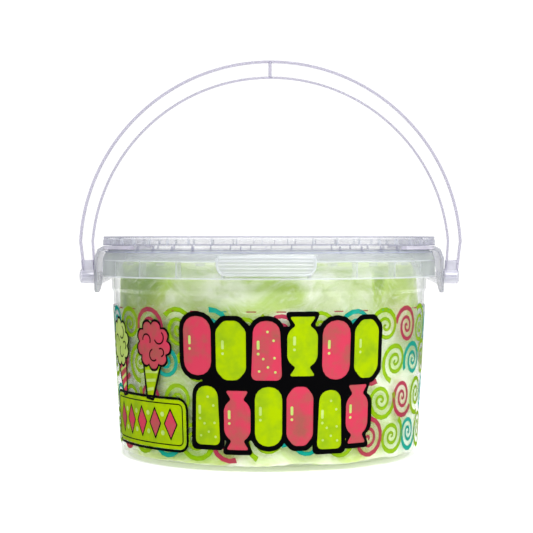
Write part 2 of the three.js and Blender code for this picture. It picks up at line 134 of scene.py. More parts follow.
class Workpiece:
    """A mesh on the bench. Every length and place given to it is in millimetres."""

    def __init__(self, obj: bpy.types.Object) -> None:
        """Take hold of a mesh object."""
        self.obj = obj

    @classmethod
    def taken(cls, name: str) -> "Workpiece":
        """Take the active object, such as a primitive that was just added, with its place put into its mesh.

        Args:
            name: The piece's name.

        Returns:
            The new piece.
        """
        obj = bpy.context.active_object
        obj.name = name
        obj.data.name = name
        bpy.ops.object.transform_apply(location=True, rotation=True, scale=True)
        return cls(obj)

    @classmethod
    def block(cls, name: str, size: Sequence[float], centre: Sequence[float]) -> "Workpiece":
        """Start from a box.

        Args:
            name: The piece's name.
            size: Its size along X, Y and Z.
            centre: Its middle.

        Returns:
            The new piece.
        """
        deselect_all()
        bpy.ops.mesh.primitive_cube_add(size=1, location=metres(*centre), scale=metres(*size))
        return cls.taken(name)

    @classmethod
    def patch(cls, name: str, size: tuple[float, float], centre: Sequence[float], tilt: float = 0.0) -> "Workpiece":
        """Start from a flat rectangle.

        Args:
            name: The piece's name.
            size: Its size along X and Y before it tilts.
            centre: Its middle.
            tilt: How far it is turned about Y, in degrees.

        Returns:
            The new piece.
        """
        deselect_all()
        bpy.ops.mesh.primitive_plane_add(size=1, location=metres(*centre), rotation=(0, math.radians(tilt), 0))
        bpy.context.active_object.scale = (size[0] * MM, size[1] * MM, 1)
        return cls.taken(name)

    @classmethod
    def rod(
        cls, name: str, radius: float, start: Sequence[float], end: Sequence[float], sides: int = 48
    ) -> "Workpiece":
        """Start from a round rod between two points.

        Args:
            name: The piece's name.
            radius: The rod's radius.
            start: The middle of one end.
            end: The middle of the other end.
            sides: How many sides stand for its roundness.

        Returns:
            The new piece.
        """
        deselect_all()
        along = metres(*end) - metres(*start)
        bpy.ops.mesh.primitive_cylinder_add(
            vertices=sides,
            radius=radius * MM,
            depth=along.length,
            location=(metres(*start) + metres(*end)) / 2,
            rotation=along.to_track_quat("Z", "Y").to_euler(),
        )
        return cls.taken(name)

    @classmethod
    def drawn(cls, name: str, corners: Sequence[Corner], closed: bool = True) -> "Workpiece":
        """Draw an outline in the X-Z plane by extruding one point from corner to corner.

        Args:
            name: The piece's name.
            corners: The outline's corners in order.
            closed: Whether the last corner is joined to the first.

        Returns:
            The outline as edges, with its corners rounded.
        """
        deselect_all()
        first = corners[0]
        bpy.ops.mesh.primitive_plane_add(size=MM, location=metres(first.x, 0, first.z))
        piece = cls.taken(name)
        with piece.editing(Element.POINT):
            pick_all()
            bpy.ops.mesh.merge(type="CENTER")
            for here, there in zip(corners, corners[1:]):
                step = metres(there.x - here.x, 0, there.z - here.z)
                extrude(step)
            if closed:
                piece.pick_at(corners[0], corners[-1])
                bpy.ops.mesh.edge_face_add()
            for rounding in sorted({corner.rounding for corner in corners} - {0.0}):
                piece.pick_at(*[corner for corner in corners if corner.rounding == rounding])
                bpy.ops.mesh.bevel(
                    offset_type="OFFSET", offset=rounding * MM, segments=ROUNDING_STEPS, affect="VERTICES"
                )
        return piece

    @classmethod
    def turned(
        cls, name: str, corners: Sequence[Corner], closed: bool = True, sweep: float = 360.0, steps: int = TURN_STEPS
    ) -> "Workpiece":
        """Spin a drawn profile about Z.

        Args:
            name: The piece's name.
            corners: The profile, with the radius across.
            closed: Whether the profile closes on itself; an open one ends on the axis.
            sweep: How far round the profile goes, in degrees, centred on +X.
            steps: Steps in the sweep.

        Returns:
            A closed ring, bowl or disc, or a sector of a ring with both ends filled.
        """
        piece = cls.drawn(name, corners, closed)
        whole = sweep >= 360
        with piece.editing(Element.POINT):
            pick_all()
            if not whole:
                bpy.ops.mesh.edge_face_add()
            bpy.ops.mesh.spin(steps=steps, angle=math.radians(sweep), center=(0, 0, 0), axis=(0, 0, -1))
            piece.make_sound()
        if not whole:
            piece.turn(-sweep / 2)
        return piece

    @classmethod
    def plate(cls, name: str, corners: Sequence[Corner], thickness: float, back: float = 0.0) -> "Workpiece":
        """Fill an outline and make it thick towards the front.

        Args:
            name: The piece's name.
            corners: The outline in the X-Z plane.
            thickness: How thick the plate is along Y.
            back: Where its back face lies in Y.

        Returns:
            The plate, from back to back - thickness.
        """
        piece = cls.drawn(name, corners)
        with piece.editing(Element.POINT):
            pick_all()
            bpy.ops.mesh.edge_face_add()
            bpy.ops.transform.translate(value=metres(0, back, 0))
            extrude(metres(0, -thickness, 0))
            piece.make_sound()
        return piece

    @classmethod
    def joined(cls, name: str, pieces: Sequence["Workpiece"]) -> "Workpiece":
        """Join several pieces into one object.

        Args:
            name: The name of the whole.
            pieces: What is joined.

        Returns:
            The whole.
        """
        deselect_all()
        for piece in pieces:
            piece.obj.select_set(True)
        bpy.context.view_layer.objects.active = pieces[0].obj
        bpy.ops.object.transform_apply(location=True, rotation=True, scale=True)
        if len(pieces) > 1:
            bpy.ops.object.join()
        return cls.taken(name)

    def activate(self) -> None:
        """Select this piece alone and make it the active one."""
        deselect_all()
        self.obj.select_set(True)
        bpy.context.view_layer.objects.active = self.obj

    @contextmanager
    def editing(self, element: Element) -> Iterator[None]:
        """Hold the piece in edit mode, with nothing selected at first.

        Args:
            element: The select mode.

        Yields:
            Nothing; operators act while the block runs.
        """
        self.activate()
        bpy.ops.object.mode_set(mode="EDIT")
        bpy.ops.mesh.select_mode(type=element.value)
        bpy.ops.mesh.select_all(action="DESELECT")
        try:
            yield
        finally:
            bpy.ops.object.mode_set(mode="OBJECT")

    def pick(self, element: Element, test: Callable[[Vector, Vector], bool]) -> None:
        """Select points, edges or faces by place or normal.

        Args:
            element: The select mode.
            test: Takes a middle in millimetres and a normal, and says whether it is picked.
        """
        bpy.ops.mesh.select_mode(type=element.value)
        bpy.ops.mesh.select_all(action="DESELECT")
        shape = bmesh.from_edit_mesh(self.obj.data)
        if element is Element.POINT:
            found = [v for v in shape.verts if test(v.co / MM, v.normal)]
        elif element is Element.EDGE:
            found = [e for e in shape.edges if test((e.verts[0].co + e.verts[1].co) / (2 * MM), e.verts[0].normal)]
        else:
            found = [f for f in shape.faces if test(f.calc_center_median() / MM, f.normal)]
        for item in found:
            item.select_set(True)
        shape.select_flush_mode()
        bmesh.update_edit_mesh(self.obj.data)

    def pick_at(self, *corners: Corner) -> None:
        """Select the points of an outline that lie at these corners."""
        places = [Vector((corner.x, 0, corner.z)) for corner in corners]
        self.pick(Element.POINT, lambda at, _: any((at - place).length < NEAR for place in places))

    def make_sound(self) -> None:
        """In edit mode, weld doubled points and turn every face outwards."""
        pick_all()
        bpy.ops.mesh.remove_doubles(threshold=WELD)
        bpy.ops.mesh.normals_make_consistent(inside=False)

    def set_place(self) -> None:
        """Put the object's place, turn and size into its mesh."""
        self.activate()
        bpy.ops.object.transform_apply(location=True, rotation=True, scale=True)

    def put(self, place: Matrix) -> "Workpiece":
        """Move and turn the piece.

        Args:
            place: Where it goes, in metres.

        Returns:
            The piece itself.
        """
        self.obj.matrix_world = place
        self.set_place()
        return self

    def shift(self, x: float = 0.0, y: float = 0.0, z: float = 0.0) -> None:
        """Move the piece."""
        self.obj.location = metres(x, y, z)
        self.set_place()

    def turn(self, azimuth: float) -> None:
        """Turn the piece about Z, in degrees."""
        self.obj.rotation_euler.z = math.radians(azimuth)
        self.set_place()

    def apply(self, kind: str, **settings: Any) -> None:
        """Add a modifier, set it and apply it.

        Args:
            kind: The modifier's type.
            **settings: Its settings.
        """
        self.activate()
        bpy.ops.object.modifier_add(type=kind)
        modifier = self.obj.modifiers[-1]
        for name, value in settings.items():
            setattr(modifier, name, value)
        bpy.ops.object.modifier_apply(modifier=modifier.name)

    def soften(self, width: float, segments: int = 2) -> None:
        """Round every edge that is sharper than a shallow fold."""
        self.apply("BEVEL", width=width * MM, segments=segments, limit_method="ANGLE", angle_limit=SMOOTH_UNDER)

    def combine(self, other: "Workpiece", how: Combine) -> None:
        """Join, cut or keep this solid by another, which is used up."""
        self.apply("BOOLEAN", operation=how.value, object=other.obj, solver="EXACT")
        bpy.data.objects.remove(other.obj)

    def copied(self, places: Iterable[Matrix]) -> "Workpiece":
        """Put a copy with its own mesh at each place, and join the copies.

        Args:
            places: Where each copy goes, in metres.

        Returns:
            The joined copies, under this piece's name.
        """
        name = self.obj.name
        copies = []
        for place in places:
            self.activate()
            bpy.ops.object.duplicate(linked=False)
            copy = bpy.context.active_object
            copy.matrix_world = place
            copies.append(Workpiece(copy))
        bpy.data.objects.remove(self.obj)
        return Workpiece.joined(name, copies)

    def mirrored(self) -> None:
        """Open the half piece where it ends at X = 0, add its mirror image and weld them there."""
        with self.editing(Element.FACE):
            self.pick(Element.FACE, lambda at, normal: abs(at.x) < NEAR and abs(normal.x) > 0.9)
            bpy.ops.mesh.delete(type="FACE")
        self.apply("MIRROR", use_axis=(True, False, False), use_mirror_merge=True, merge_threshold=WELD)
        with self.editing(Element.POINT):
            self.make_sound()

    def slice_across(self, spacing: float) -> None:
        """Cut edges across a flat panel at even stations in X, so that it can bend smoothly.

        Args:
            spacing: How far apart the stations are.
        """
        reach = [corner[0] / MM for corner in self.obj.bound_box]
        first, last = math.ceil(min(reach) / spacing), math.floor(max(reach) / spacing)
        with self.editing(Element.POINT):
            for station in range(first, last + 1):
                pick_all()
                bpy.ops.mesh.bisect(plane_co=metres(station * spacing, 0, 0), plane_no=(1, 0, 0))

    def bend_round(self, radius: float) -> None:
        """Bend a flat panel round Z: X becomes the way round from the front, and -Y is outwards.

        Args:
            radius: How far from Z the plane Y = 0 comes to lie.
        """
        width = self.obj.dimensions.x
        self.apply("SIMPLE_DEFORM", deform_method="BEND", deform_axis="Z", angle=width / (radius * MM))
        self.shift(y=-radius)

    def flare(self, radius: float, slope: float, middle: float) -> None:
        """Widen a bent panel upwards to follow a cone.

        Args:
            radius: The radius at the middle height, which stays.
            slope: How fast the radius grows with height.
            middle: The middle height.
        """
        self.shift(z=-middle)
        height = self.obj.dimensions.z / MM
        self.apply("SIMPLE_DEFORM", deform_method="TAPER", deform_axis="Z", factor=slope * height / radius)
        self.shift(z=middle)

    def hand_over(self, material: bpy.types.Material, part: Part) -> None:
        """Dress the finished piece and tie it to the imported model.

        Args:
            material: Its finish.
            part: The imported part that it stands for.
        """
        body, slot, *nodes = part.value
        self.activate()
        bpy.ops.object.shade_smooth_by_angle(angle=SMOOTH_UNDER)
        self.obj.data.materials.clear()
        self.obj.data.materials.append(material)
        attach(self.obj, body)
        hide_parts(*nodes)
        log.info("%s: %d faces on %s, %s", self.obj.name, len(self.obj.data.polygons), body, material.name)

    def dress_faces(self, material: bpy.types.Material, test: Callable[[Vector, Vector], bool]) -> None:
        """Give some faces of a handed-over piece a second finish.

        Args:
            material: The second finish.
            test: Takes a face's middle in millimetres and its normal, and says whether it gets the finish.
        """
        self.obj.data.materials.append(material)
        with self.editing(Element.FACE):
            self.pick(Element.FACE, test)
            self.obj.active_material_index = len(self.obj.data.materials) - 1
            bpy.ops.object.material_slot_assign()


def round_z(azimuths: Iterable[float]) -> list[Matrix]:
    """Give the places of copies turned about Z to these azimuths, in degrees."""
    return [Matrix.Rotation(math.radians(azimuth), 4, "Z") for azimuth in azimuths]


def on_panel(x: float, z: float, turn: float = 0.0) -> Matrix:
    """Give the place of a copy on a flat panel, turned in the panel's plane by degrees."""
    return Matrix.Translation(metres(x, 0, z)) @ Matrix.Rotation(math.radians(turn), 4, "Y")


# ---- Finishes ----


def linear(colour: str) -> tuple[float, float, float, float]:
    """Turn an sRGB hex colour to the linear colour that a shader takes.

    Args:
        colour: The colour, such as "#c8c8d4".

    Returns:
        Its linear channels, with full alpha.
    """
    channels = [int(colour[i : i + 2], 16) / 255 for i in (1, 3, 5)]
    bent = [c / 12.92 if c <= 0.04045 else ((c + 0.055) / 1.055) ** 2.4 for c in channels]
    return (*bent, 1.0)


def add_node(tree: bpy.types.NodeTree, kind: str, inputs: dict[str | int, Any], **settings: Any) -> bpy.types.Node:
    """Add a shader node with its settings and links.

    Args:
        tree: The material's node tree.
        kind: The node's type, without its prefix.
        inputs: A value, a feeding socket or a node whose first output feeds it, for each input.
        **settings: The node's own settings.

    Returns:
        The new node.
    """
    node = tree.nodes.new("ShaderNode" + kind)
    for name, value in settings.items():
        setattr(node, name, value)
    for name, value in inputs.items():
        if isinstance(value, bpy.types.Node):
            value = value.outputs[0]
        if isinstance(value, bpy.types.NodeSocket):
            tree.links.new(value, node.inputs[name])
        else:
            node.inputs[name].default_value = value
    return node


def blank_material(name: str) -> tuple[bpy.types.Material, bpy.types.NodeTree, bpy.types.NodeSocket]:
    """Make a material with nothing but its output and its Object coordinates.

    Args:
        name: The material's name.

    Returns:
        The material, its tree and the coordinates' socket.
    """
    material = bpy.data.materials.new(name)
    material.use_nodes = True
    tree = material.node_tree
    tree.nodes.clear()
    place = add_node(tree, "TexCoord", {}).outputs["Object"]
    return material, tree, place


@dataclass(frozen=True)
class ClearMoulding:
    """Injection-moulded clear polypropylene: a glossy skin over a faintly milky body that greys towards its edges."""

    name: str
    tint: str
    haze: float  # share of the light that the body scatters, seen straight on
    edge_haze: float  # the same where the wall is seen along itself
    gloss: float = 0.035  # share that it mirrors straight on
    glance: float = 0.8  # share that it mirrors where the wall is seen along itself
    roughness: float = 0.09
    ripple: float = 14.0  # millimetres between the shallow waves left by shrinkage
    wave: float = 0.12  # how far those waves tilt the gloss
    through: float = 0.4  # share of the scattered light that goes on through the wall
    passing: str = "#ffffff"  # what one face leaves of white light that goes straight on

    def build(self) -> bpy.types.Material:
        """Make the material.

        Returns:
            The new material.
        """
        material, tree, place = blank_material(self.name)
        waves = add_node(tree, "TexNoise", {"Vector": place, "Scale": 1 / (self.ripple * MM), "Detail": 1.5})
        skin = add_node(tree, "Bump", {"Height": waves, "Strength": self.wave, "Distance": 0.25 * MM})
        facing = add_node(tree, "LayerWeight", {"Blend": 0.5}).outputs["Facing"]
        grazing = add_node(tree, "Math", {0: facing, 1: 2.5}, operation="POWER")
        depth = add_node(tree, "MapRange", {"Value": grazing, "To Min": self.haze, "To Max": self.edge_haze})
        cloud = add_node(tree, "MapRange", {"Value": waves, "To Min": 0.8, "To Max": 1.2})
        haze = add_node(tree, "Math", {0: depth, 1: cloud}, operation="MULTIPLY")
        lit = add_node(tree, "BsdfPrincipled", {"Base Color": linear(self.tint), "Roughness": 0.4, "IOR": PLASTIC_IOR})
        glow = add_node(tree, "BsdfTranslucent", {"Color": linear(self.tint)})
        milky = add_node(tree, "MixShader", {0: self.through, 1: lit, 2: glow})
        clear = add_node(tree, "BsdfTransparent", {"Color": linear(self.passing)})
        body = add_node(tree, "MixShader", {0: haze, 1: clear, 2: milky})
        # Schlick's share of mirrored light, the same from both sides of the wall.
        steep = add_node(tree, "Math", {0: facing, 1: 5.0}, operation="POWER")
        share = add_node(tree, "MapRange", {"Value": steep, "To Min": self.gloss, "To Max": self.glance})
        mirror = add_node(tree, "BsdfGlossy", {"Roughness": self.roughness, "Normal": skin})
        whole = add_node(tree, "MixShader", {0: share, 1: body, 2: mirror})
        add_node(tree, "OutputMaterial", {"Surface": whole})
        return material


@dataclass(frozen=True)
class FilmInk:
    """Flexographic ink on clear film: an even coat that lets a little of the floss show as mottling."""

    name: str
    colour: str
    shade: str  # what the coat leans to where the floss behind it is dense
    cover: float
    passing: str = "#ffffff"  # what a thin ink leaves of white light, so that it tints the floss and not only hides it
    mottle: float = 9.0  # millimetres between the mottling's clouds

    def build(self) -> bpy.types.Material:
        """Make the material.

        Returns:
            The new material.
        """
        material, tree, place = blank_material(self.name)
        clouds = add_node(
            tree, "TexNoise", {"Vector": place, "Scale": 1 / (self.mottle * MM), "Detail": 3.0, "Roughness": 0.6}
        )
        patches = add_node(tree, "MapRange", {"Value": clouds, "From Min": 0.4, "From Max": 0.66})
        inks = {"Factor": patches, "A": linear(self.colour), "B": linear(self.shade)}
        colour = add_node(tree, "Mix", inks, data_type="RGBA").outputs["Result"]
        coat = add_node(tree, "BsdfPrincipled", {"Base Color": colour, "Roughness": 0.7, "Specular IOR Level": 0.02})
        clear = add_node(tree, "BsdfTransparent", {"Color": linear(self.passing)})
        whole = add_node(tree, "MixShader", {0: self.cover, 1: clear, 2: coat})
        add_node(tree, "OutputMaterial", {"Surface": whole})
        return material


@dataclass(frozen=True)
class SpunSugar:
    """Spun sugar: matt felted threads, pale where they puff out and greener and darker where they fold together, partly
    the denser sugar's own colour and partly painted shade.
    """

    name: str
    pale: str
    green: str
    crease: str
    deep: str
    drift: float = 34.0  # millimetres between the drifts of green and white sugar
    contrast: float = 0.14  # how much the marked drifts count beside the noise's own
    fibre: float = 1.1  # millimetres between threads, drawn coarser than the real tenth of a millimetre to show
    tuft: float = 7.0  # millimetres between tufts
    swirl: float = 45.0  # millimetres between the turns of the slow swirl
    pull: float = 60.0  # millimetres that the swirl pulls the other patterns along
    inner_light: float = 0.9  # share of the light that goes in among the threads and comes out elsewhere
    light_reach: float = 12.0  # millimetres that it travels there

    def build(self) -> bpy.types.Material:
        """Make the material.

        Returns:
            The new material.
        """
        material, tree, place = blank_material(self.name)
        # The threads were wound round the spinner, so every pattern is drawn along one slow swirl.
        swirl = add_node(tree, "TexNoise", {"Vector": place, "Scale": 1 / (self.swirl * MM), "Detail": 2.0})
        pull = {0: swirl.outputs["Color"], 1: (self.pull * MM,) * 3, 2: place}
        pulled = add_node(tree, "VectorMath", pull, operation="MULTIPLY_ADD")
        wound = add_node(tree, "Mapping", {"Vector": pulled, "Scale": (0.45, 0.45, 1.6)})
        drifts, threads, tufts = (
            add_node(tree, "TexNoise", {"Vector": along, "Scale": 1 / (size * MM), "Detail": detail, **grain})
            for along, size, detail, grain in (
                (wound, self.drift, 4.0, {"Roughness": 0.55}),
                (wound, 3 * self.fibre, 6.0, {"Roughness": 0.72}),
                (place, self.tuft, 4.0, {"Roughness": 0.65, "Distortion": 0.8}),
            )
        )
        white = add_node(tree, "Attribute", {}, attribute_name="white").outputs["Fac"]
        fold = add_node(tree, "Attribute", {}, attribute_name="fold").outputs["Fac"]
        whitened = {0: white, 1: -self.contrast, 2: drifts}
        greenness = add_node(tree, "Math", whitened, operation="MULTIPLY_ADD")
        # Each pattern lays its colour over the last, from nowhere at its low value to its full share at its high one.
        green, deep, clump, fleck = (
            add_node(tree, "MapRange", {"Value": value, "From Min": low, "From Max": high, "To Max": most})
            for value, low, high, most in (
                (greenness, 0.38, 0.58, 1.0),
                (greenness, 0.62, 0.82, 0.9),
                (tufts, 0.5, 0.72, 0.5),
                (threads, 0.5, 0.74, 0.6),
            )
        )
        colour: Any = linear(self.pale)
        # The fold share and the deep colour are partly painted shade: sunken places and the most strongly greener
        # drifts turn darker green for floss in shade.
        for share, laid in (
            (green, self.green),
            (deep, self.deep),
            (fold, self.crease),
            (clump, self.crease),
            (fleck, self.pale),
        ):
            mix = add_node(tree, "Mix", {"Factor": share, "A": colour, "B": linear(laid)}, data_type="RGBA")
            colour = mix.outputs["Result"]
        nap = add_node(tree, "Math", {0: threads, 1: tufts}, operation="ADD")
        felt = add_node(tree, "Bump", {"Height": nap, "Strength": 0.6, "Distance": 0.9 * MM})
        sugar = add_node(
            tree,
            "BsdfPrincipled",
            {
                "Base Color": colour,
                "Roughness": 0.95,
                "Specular IOR Level": 0.2,
                "Sheen Weight": 0.15,
                "Subsurface Weight": self.inner_light,
                "Subsurface Radius": (1.0, 1.0, 0.8),
                "Subsurface Scale": self.light_reach * MM,
                "Normal": felt,
            },
        )
        add_node(tree, "OutputMaterial", {"Surface": sugar})
        return material


@dataclass(frozen=True)
class LightTable:
    """Opal acrylic lit from below, as under a product on a light table: white and matt, with hardly a shadow."""

    name: str
    colour: str
    glow: float

    def build(self) -> bpy.types.Material:
        """Make the material.

        Returns:
            The new material.
        """
        material, tree, place = blank_material(self.name)
        grain = add_node(tree, "TexNoise", {"Vector": place, "Scale": 1 / (2 * MM), "Detail": 2.0})
        tooth = add_node(tree, "Bump", {"Height": grain, "Strength": 0.05, "Distance": 0.1 * MM})
        acrylic = add_node(
            tree,
            "BsdfPrincipled",
            {
                "Base Color": linear(self.colour),
                "Roughness": 0.8,
                "Specular IOR Level": 0.2,
                "Emission Color": linear(self.colour),
                "Emission Strength": self.glow,
                "Normal": tooth,
            },
        )
        add_node(tree, "OutputMaterial", {"Surface": acrylic})
        return material


# Clear moulded polypropylene: the floss shows through a faint veil, and the wall greys where it is seen along itself.
CLEAR_WALL = ClearMoulding("clear_polypropylene_wall", "#e8ece8", haze=0.02, edge_haze=0.22, gloss=0.022, glance=0.45)

# Thicker or rougher mouldings of the same plastic are milkier, so they look soft and pale.
MILKY_SKIRT = ClearMoulding(
    "milky_polypropylene_skirt", "#ccd2d4", haze=0.25, edge_haze=0.64, gloss=0.025, glance=0.5, wave=0.04
)
MILKY_TAB = ClearMoulding("ridged_polypropylene_tab", "#eceff0", haze=0.46, edge_haze=0.6, wave=0)
MILKY_LID = ClearMoulding(
    "milky_polypropylene_lid", "#c8c8d4", haze=0.05, edge_haze=0.85, gloss=0.02, glance=0.5, wave=0.02
)
EAR_PLASTIC = ClearMoulding("milky_polypropylene_ear", "#ccccd6", haze=0.18, edge_haze=0.64, glance=0.3, wave=0.02)
EAR_BAND = ClearMoulding("polypropylene_ear_band", "#e6e2ee", haze=0.7, edge_haze=0.7, glance=0.2, wave=0)
HANDLE_HUB = ClearMoulding(
    "polypropylene_handle_hub", "#d2d1de", haze=0.6, edge_haze=0.8, gloss=0.07, glance=0.3, roughness=0.2, wave=0
)

# Painted highlight: the bright lines where edges and ribs let out the light that runs inside the wall are painted as
# paler, milkier finishes.
HIGHLIGHT_EDGE = ClearMoulding("polypropylene_edge_painted_highlight", "#e8ebf0", haze=0.52, edge_haze=0.75, wave=0)
PALE_RIB = ClearMoulding("pale_polypropylene_rib", "#e6ebeb", haze=0.26, edge_haze=0.4, wave=0)
GRIP_RIDGE = ClearMoulding("polypropylene_grip_ridge", "#f4f6f8", haze=0.4, edge_haze=0.6, wave=0)

# Painted shade and painted refraction: the thin grey, bluish or lilac lines where bends, corners and ribs seen edge on
# turn the light away are painted as darker tinted finishes.
GREY_EDGE = ClearMoulding(
    "polypropylene_seen_edge_on", "#b4b6c4", haze=0.18, edge_haze=0.6, glance=0.2, wave=0, passing="#f0f0f6"
)
DARK_CORNER = ClearMoulding(
    "polypropylene_corner_painted_shade", "#a2a4b4", haze=0.16, edge_haze=0.8, glance=0.2, wave=0, passing="#eaeaf2"
)
BLUE_BEND = ClearMoulding("polypropylene_bend_painted_bluish_light", "#c0c4de", haze=0.5, edge_haze=0.6, wave=0)
EAR_CUT = ClearMoulding("polypropylene_ear_edge", "#8e909e", haze=0.55, edge_haze=0.65, glance=0.2, wave=0)
HANDLE_EDGE = ClearMoulding(
    "polypropylene_handle_seen_edge_on",
    "#bbb9cc",
    haze=0.12,
    edge_haze=0.2,
    gloss=0.01,
    glance=0.06,
    wave=0,
    through=0.1,
    passing="#e6e4ec",
)

# Thin clear sheets show by little more than their gloss.
HANDLE_WEB = ClearMoulding("thin_polypropylene_web", "#f0f0fa", haze=0.01, edge_haze=0.2, gloss=0.02, wave=0)
CLEAR_FILM = ClearMoulding("clear_shrink_film", "#f6f8f6", haze=0.0, edge_haze=0.06, gloss=0.006, roughness=0.05)

# Spun sugar scatters light deep among its threads, so it glows softly and has no gloss.
FLOSS = SpunSugar("green_and_white_floss", pale="#e8eedc", green="#b4cf6c", crease="#a6c244", deep="#6c8c34")
FLOSS_THREADS = SpunSugar(
    "loose_floss_threads", pale="#eef3e0", green="#dbe7bd", crease="#dbe7bd", deep="#dbe7bd", inner_light=0
)

# Flexographic inks: the outline hides all, the sweets' coats hide nearly all, and the swirls' thin coats tint.
BLACK_INK = FilmInk("black_flexo_ink", "#020203", "#020203", cover=1.0)
PINK_INK = FilmInk("pink_flexo_ink", "#c03a52", "#98504a", cover=0.9)
LIME_INK = FilmInk("lime_flexo_ink", "#9cb800", "#84a414", cover=0.9)
PALE_INK = FilmInk("pale_lime_flexo_ink", "#b8cc74", "#a4be5c", cover=0.85)
TEAL_INK = FilmInk("teal_swirl_ink", "#0ca092", "#2ca498", cover=0.5, passing="#74dcd2")
SWIRL_PINK_INK = FilmInk("pink_swirl_ink", "#b03a5a", "#a44c58", cover=0.5, passing="#ea98a4")
SWIRL_LIME_INK = FilmInk("lime_swirl_ink", "#8cb40a", "#98b824", cover=0.45, passing="#d4ea6c")


# ---- Studio ----


@dataclass
class Studio:
    """Camera, soft lights and a seamless pale floor."""

    distance: float = 715.0  # from the tub's axis
    height: float = 101.3
    azimuth: float = 0.9  # degrees that the camera stands round from the front
    aim_left: float = 1.2
    aim_height: float = 89.0
    lens: float = 100.0
    sensor: float = 36.0
    light_aim: float = 60.0  # how high on the tub's axis the softboxes face
    floor_reach: float = 460.0
    seen_white: float = 1.12  # how bright the camera sees the room
    room_front: float = 0.07  # how brightly the room lights the tub from the front
    room_back: float = 0.4  # the same from behind
    glow_behind: float = 0.4  # more light from straight behind, which the clear walls let through

    def build(self) -> None:
        """Set up the whole studio."""
        self.camera()
        self.surroundings()
        self.soft_light("key", centre=(170, -840, 850), size=(800, 500), power=15.2)
        self.soft_light("right", centre=(850, -380, 380), size=(350, 900), power=1.8)
        self.soft_light("overhead", centre=(0, 150, 900), size=(1200, 900), power=6)
        self.floor()

    def camera(self) -> None:
        """Stand the camera in front of the tub."""
        round_by = math.radians(self.azimuth)
        bpy.ops.object.camera_add()
        camera = bpy.context.active_object
        camera.name = "camera"
        camera.data.lens = self.lens
        camera.data.sensor_width = self.sensor
        camera.data.clip_start = 0.01
        camera.location = metres(self.distance * math.sin(round_by), -self.distance * math.cos(round_by), self.height)
        aim = metres(-self.aim_left, 0, self.aim_height)
        camera.rotation_euler = (aim - camera.location).to_track_quat("-Z", "Y").to_euler()
        bpy.context.scene.camera = camera

    def surroundings(self) -> None:
        """Show the room white, and light the tub from a room whose front is dark, so that the wall mirrors little."""
        world = bpy.data.worlds.new("white_room")
        world.use_nodes = True
        bpy.context.scene.world = world
        tree = world.node_tree
        tree.nodes.clear()
        seen = add_node(tree, "Background", {"Color": (1, 1, 1, 1), "Strength": self.seen_white})
        way = add_node(tree, "SeparateXYZ", {0: add_node(tree, "TexCoord", {}).outputs["Generated"]}).outputs["Y"]
        room, behind = (
            add_node(
                tree, "MapRange", {"Value": way, "From Min": front, "From Max": back, "To Min": dim, "To Max": bright}
            )
            for front, back, dim, bright in (
                (-0.9, 0.6, self.room_front, self.room_back),
                (0.6, 0.95, 0.0, self.glow_behind),
            )
        )
        strength = add_node(tree, "Math", {0: room, 1: behind}, operation="ADD")
        lighting = add_node(tree, "Background", {"Color": linear("#f4f5ff"), "Strength": strength})
        ray = add_node(tree, "LightPath", {}).outputs["Is Camera Ray"]
        whole = add_node(tree, "MixShader", {0: ray, 1: lighting, 2: seen})
        add_node(tree, "OutputWorld", {"Surface": whole})

    def soft_light(self, name: str, centre: Sequence[float], size: Sequence[float], power: float) -> None:
        """Hang a softbox that faces the middle of the tub.

        Args:
            name: The light's name.
            centre: Its middle.
            size: Its width and height.
            power: Its power in watts.
        """
        bpy.ops.object.light_add(type="AREA", location=metres(*centre))
        light = bpy.context.active_object
        light.name = name
        light.data.shape = "RECTANGLE"
        light.data.size, light.data.size_y = size[0] * MM, size[1] * MM
        light.data.energy = power
        aim = metres(0, 0, self.light_aim)
        light.rotation_euler = (aim - light.location).to_track_quat("-Z", "Y").to_euler()

    def floor(self) -> None:
        """Lay the floor."""
        deselect_all()
        bpy.ops.mesh.primitive_circle_add(vertices=96, radius=self.floor_reach * MM, fill_type="NGON")
        floor = Workpiece.taken("floor")
        floor.obj.data.materials.append(LightTable("opal_acrylic_light_table", "#fbfbfb", glow=0.4).build())


# ---- Tub ----


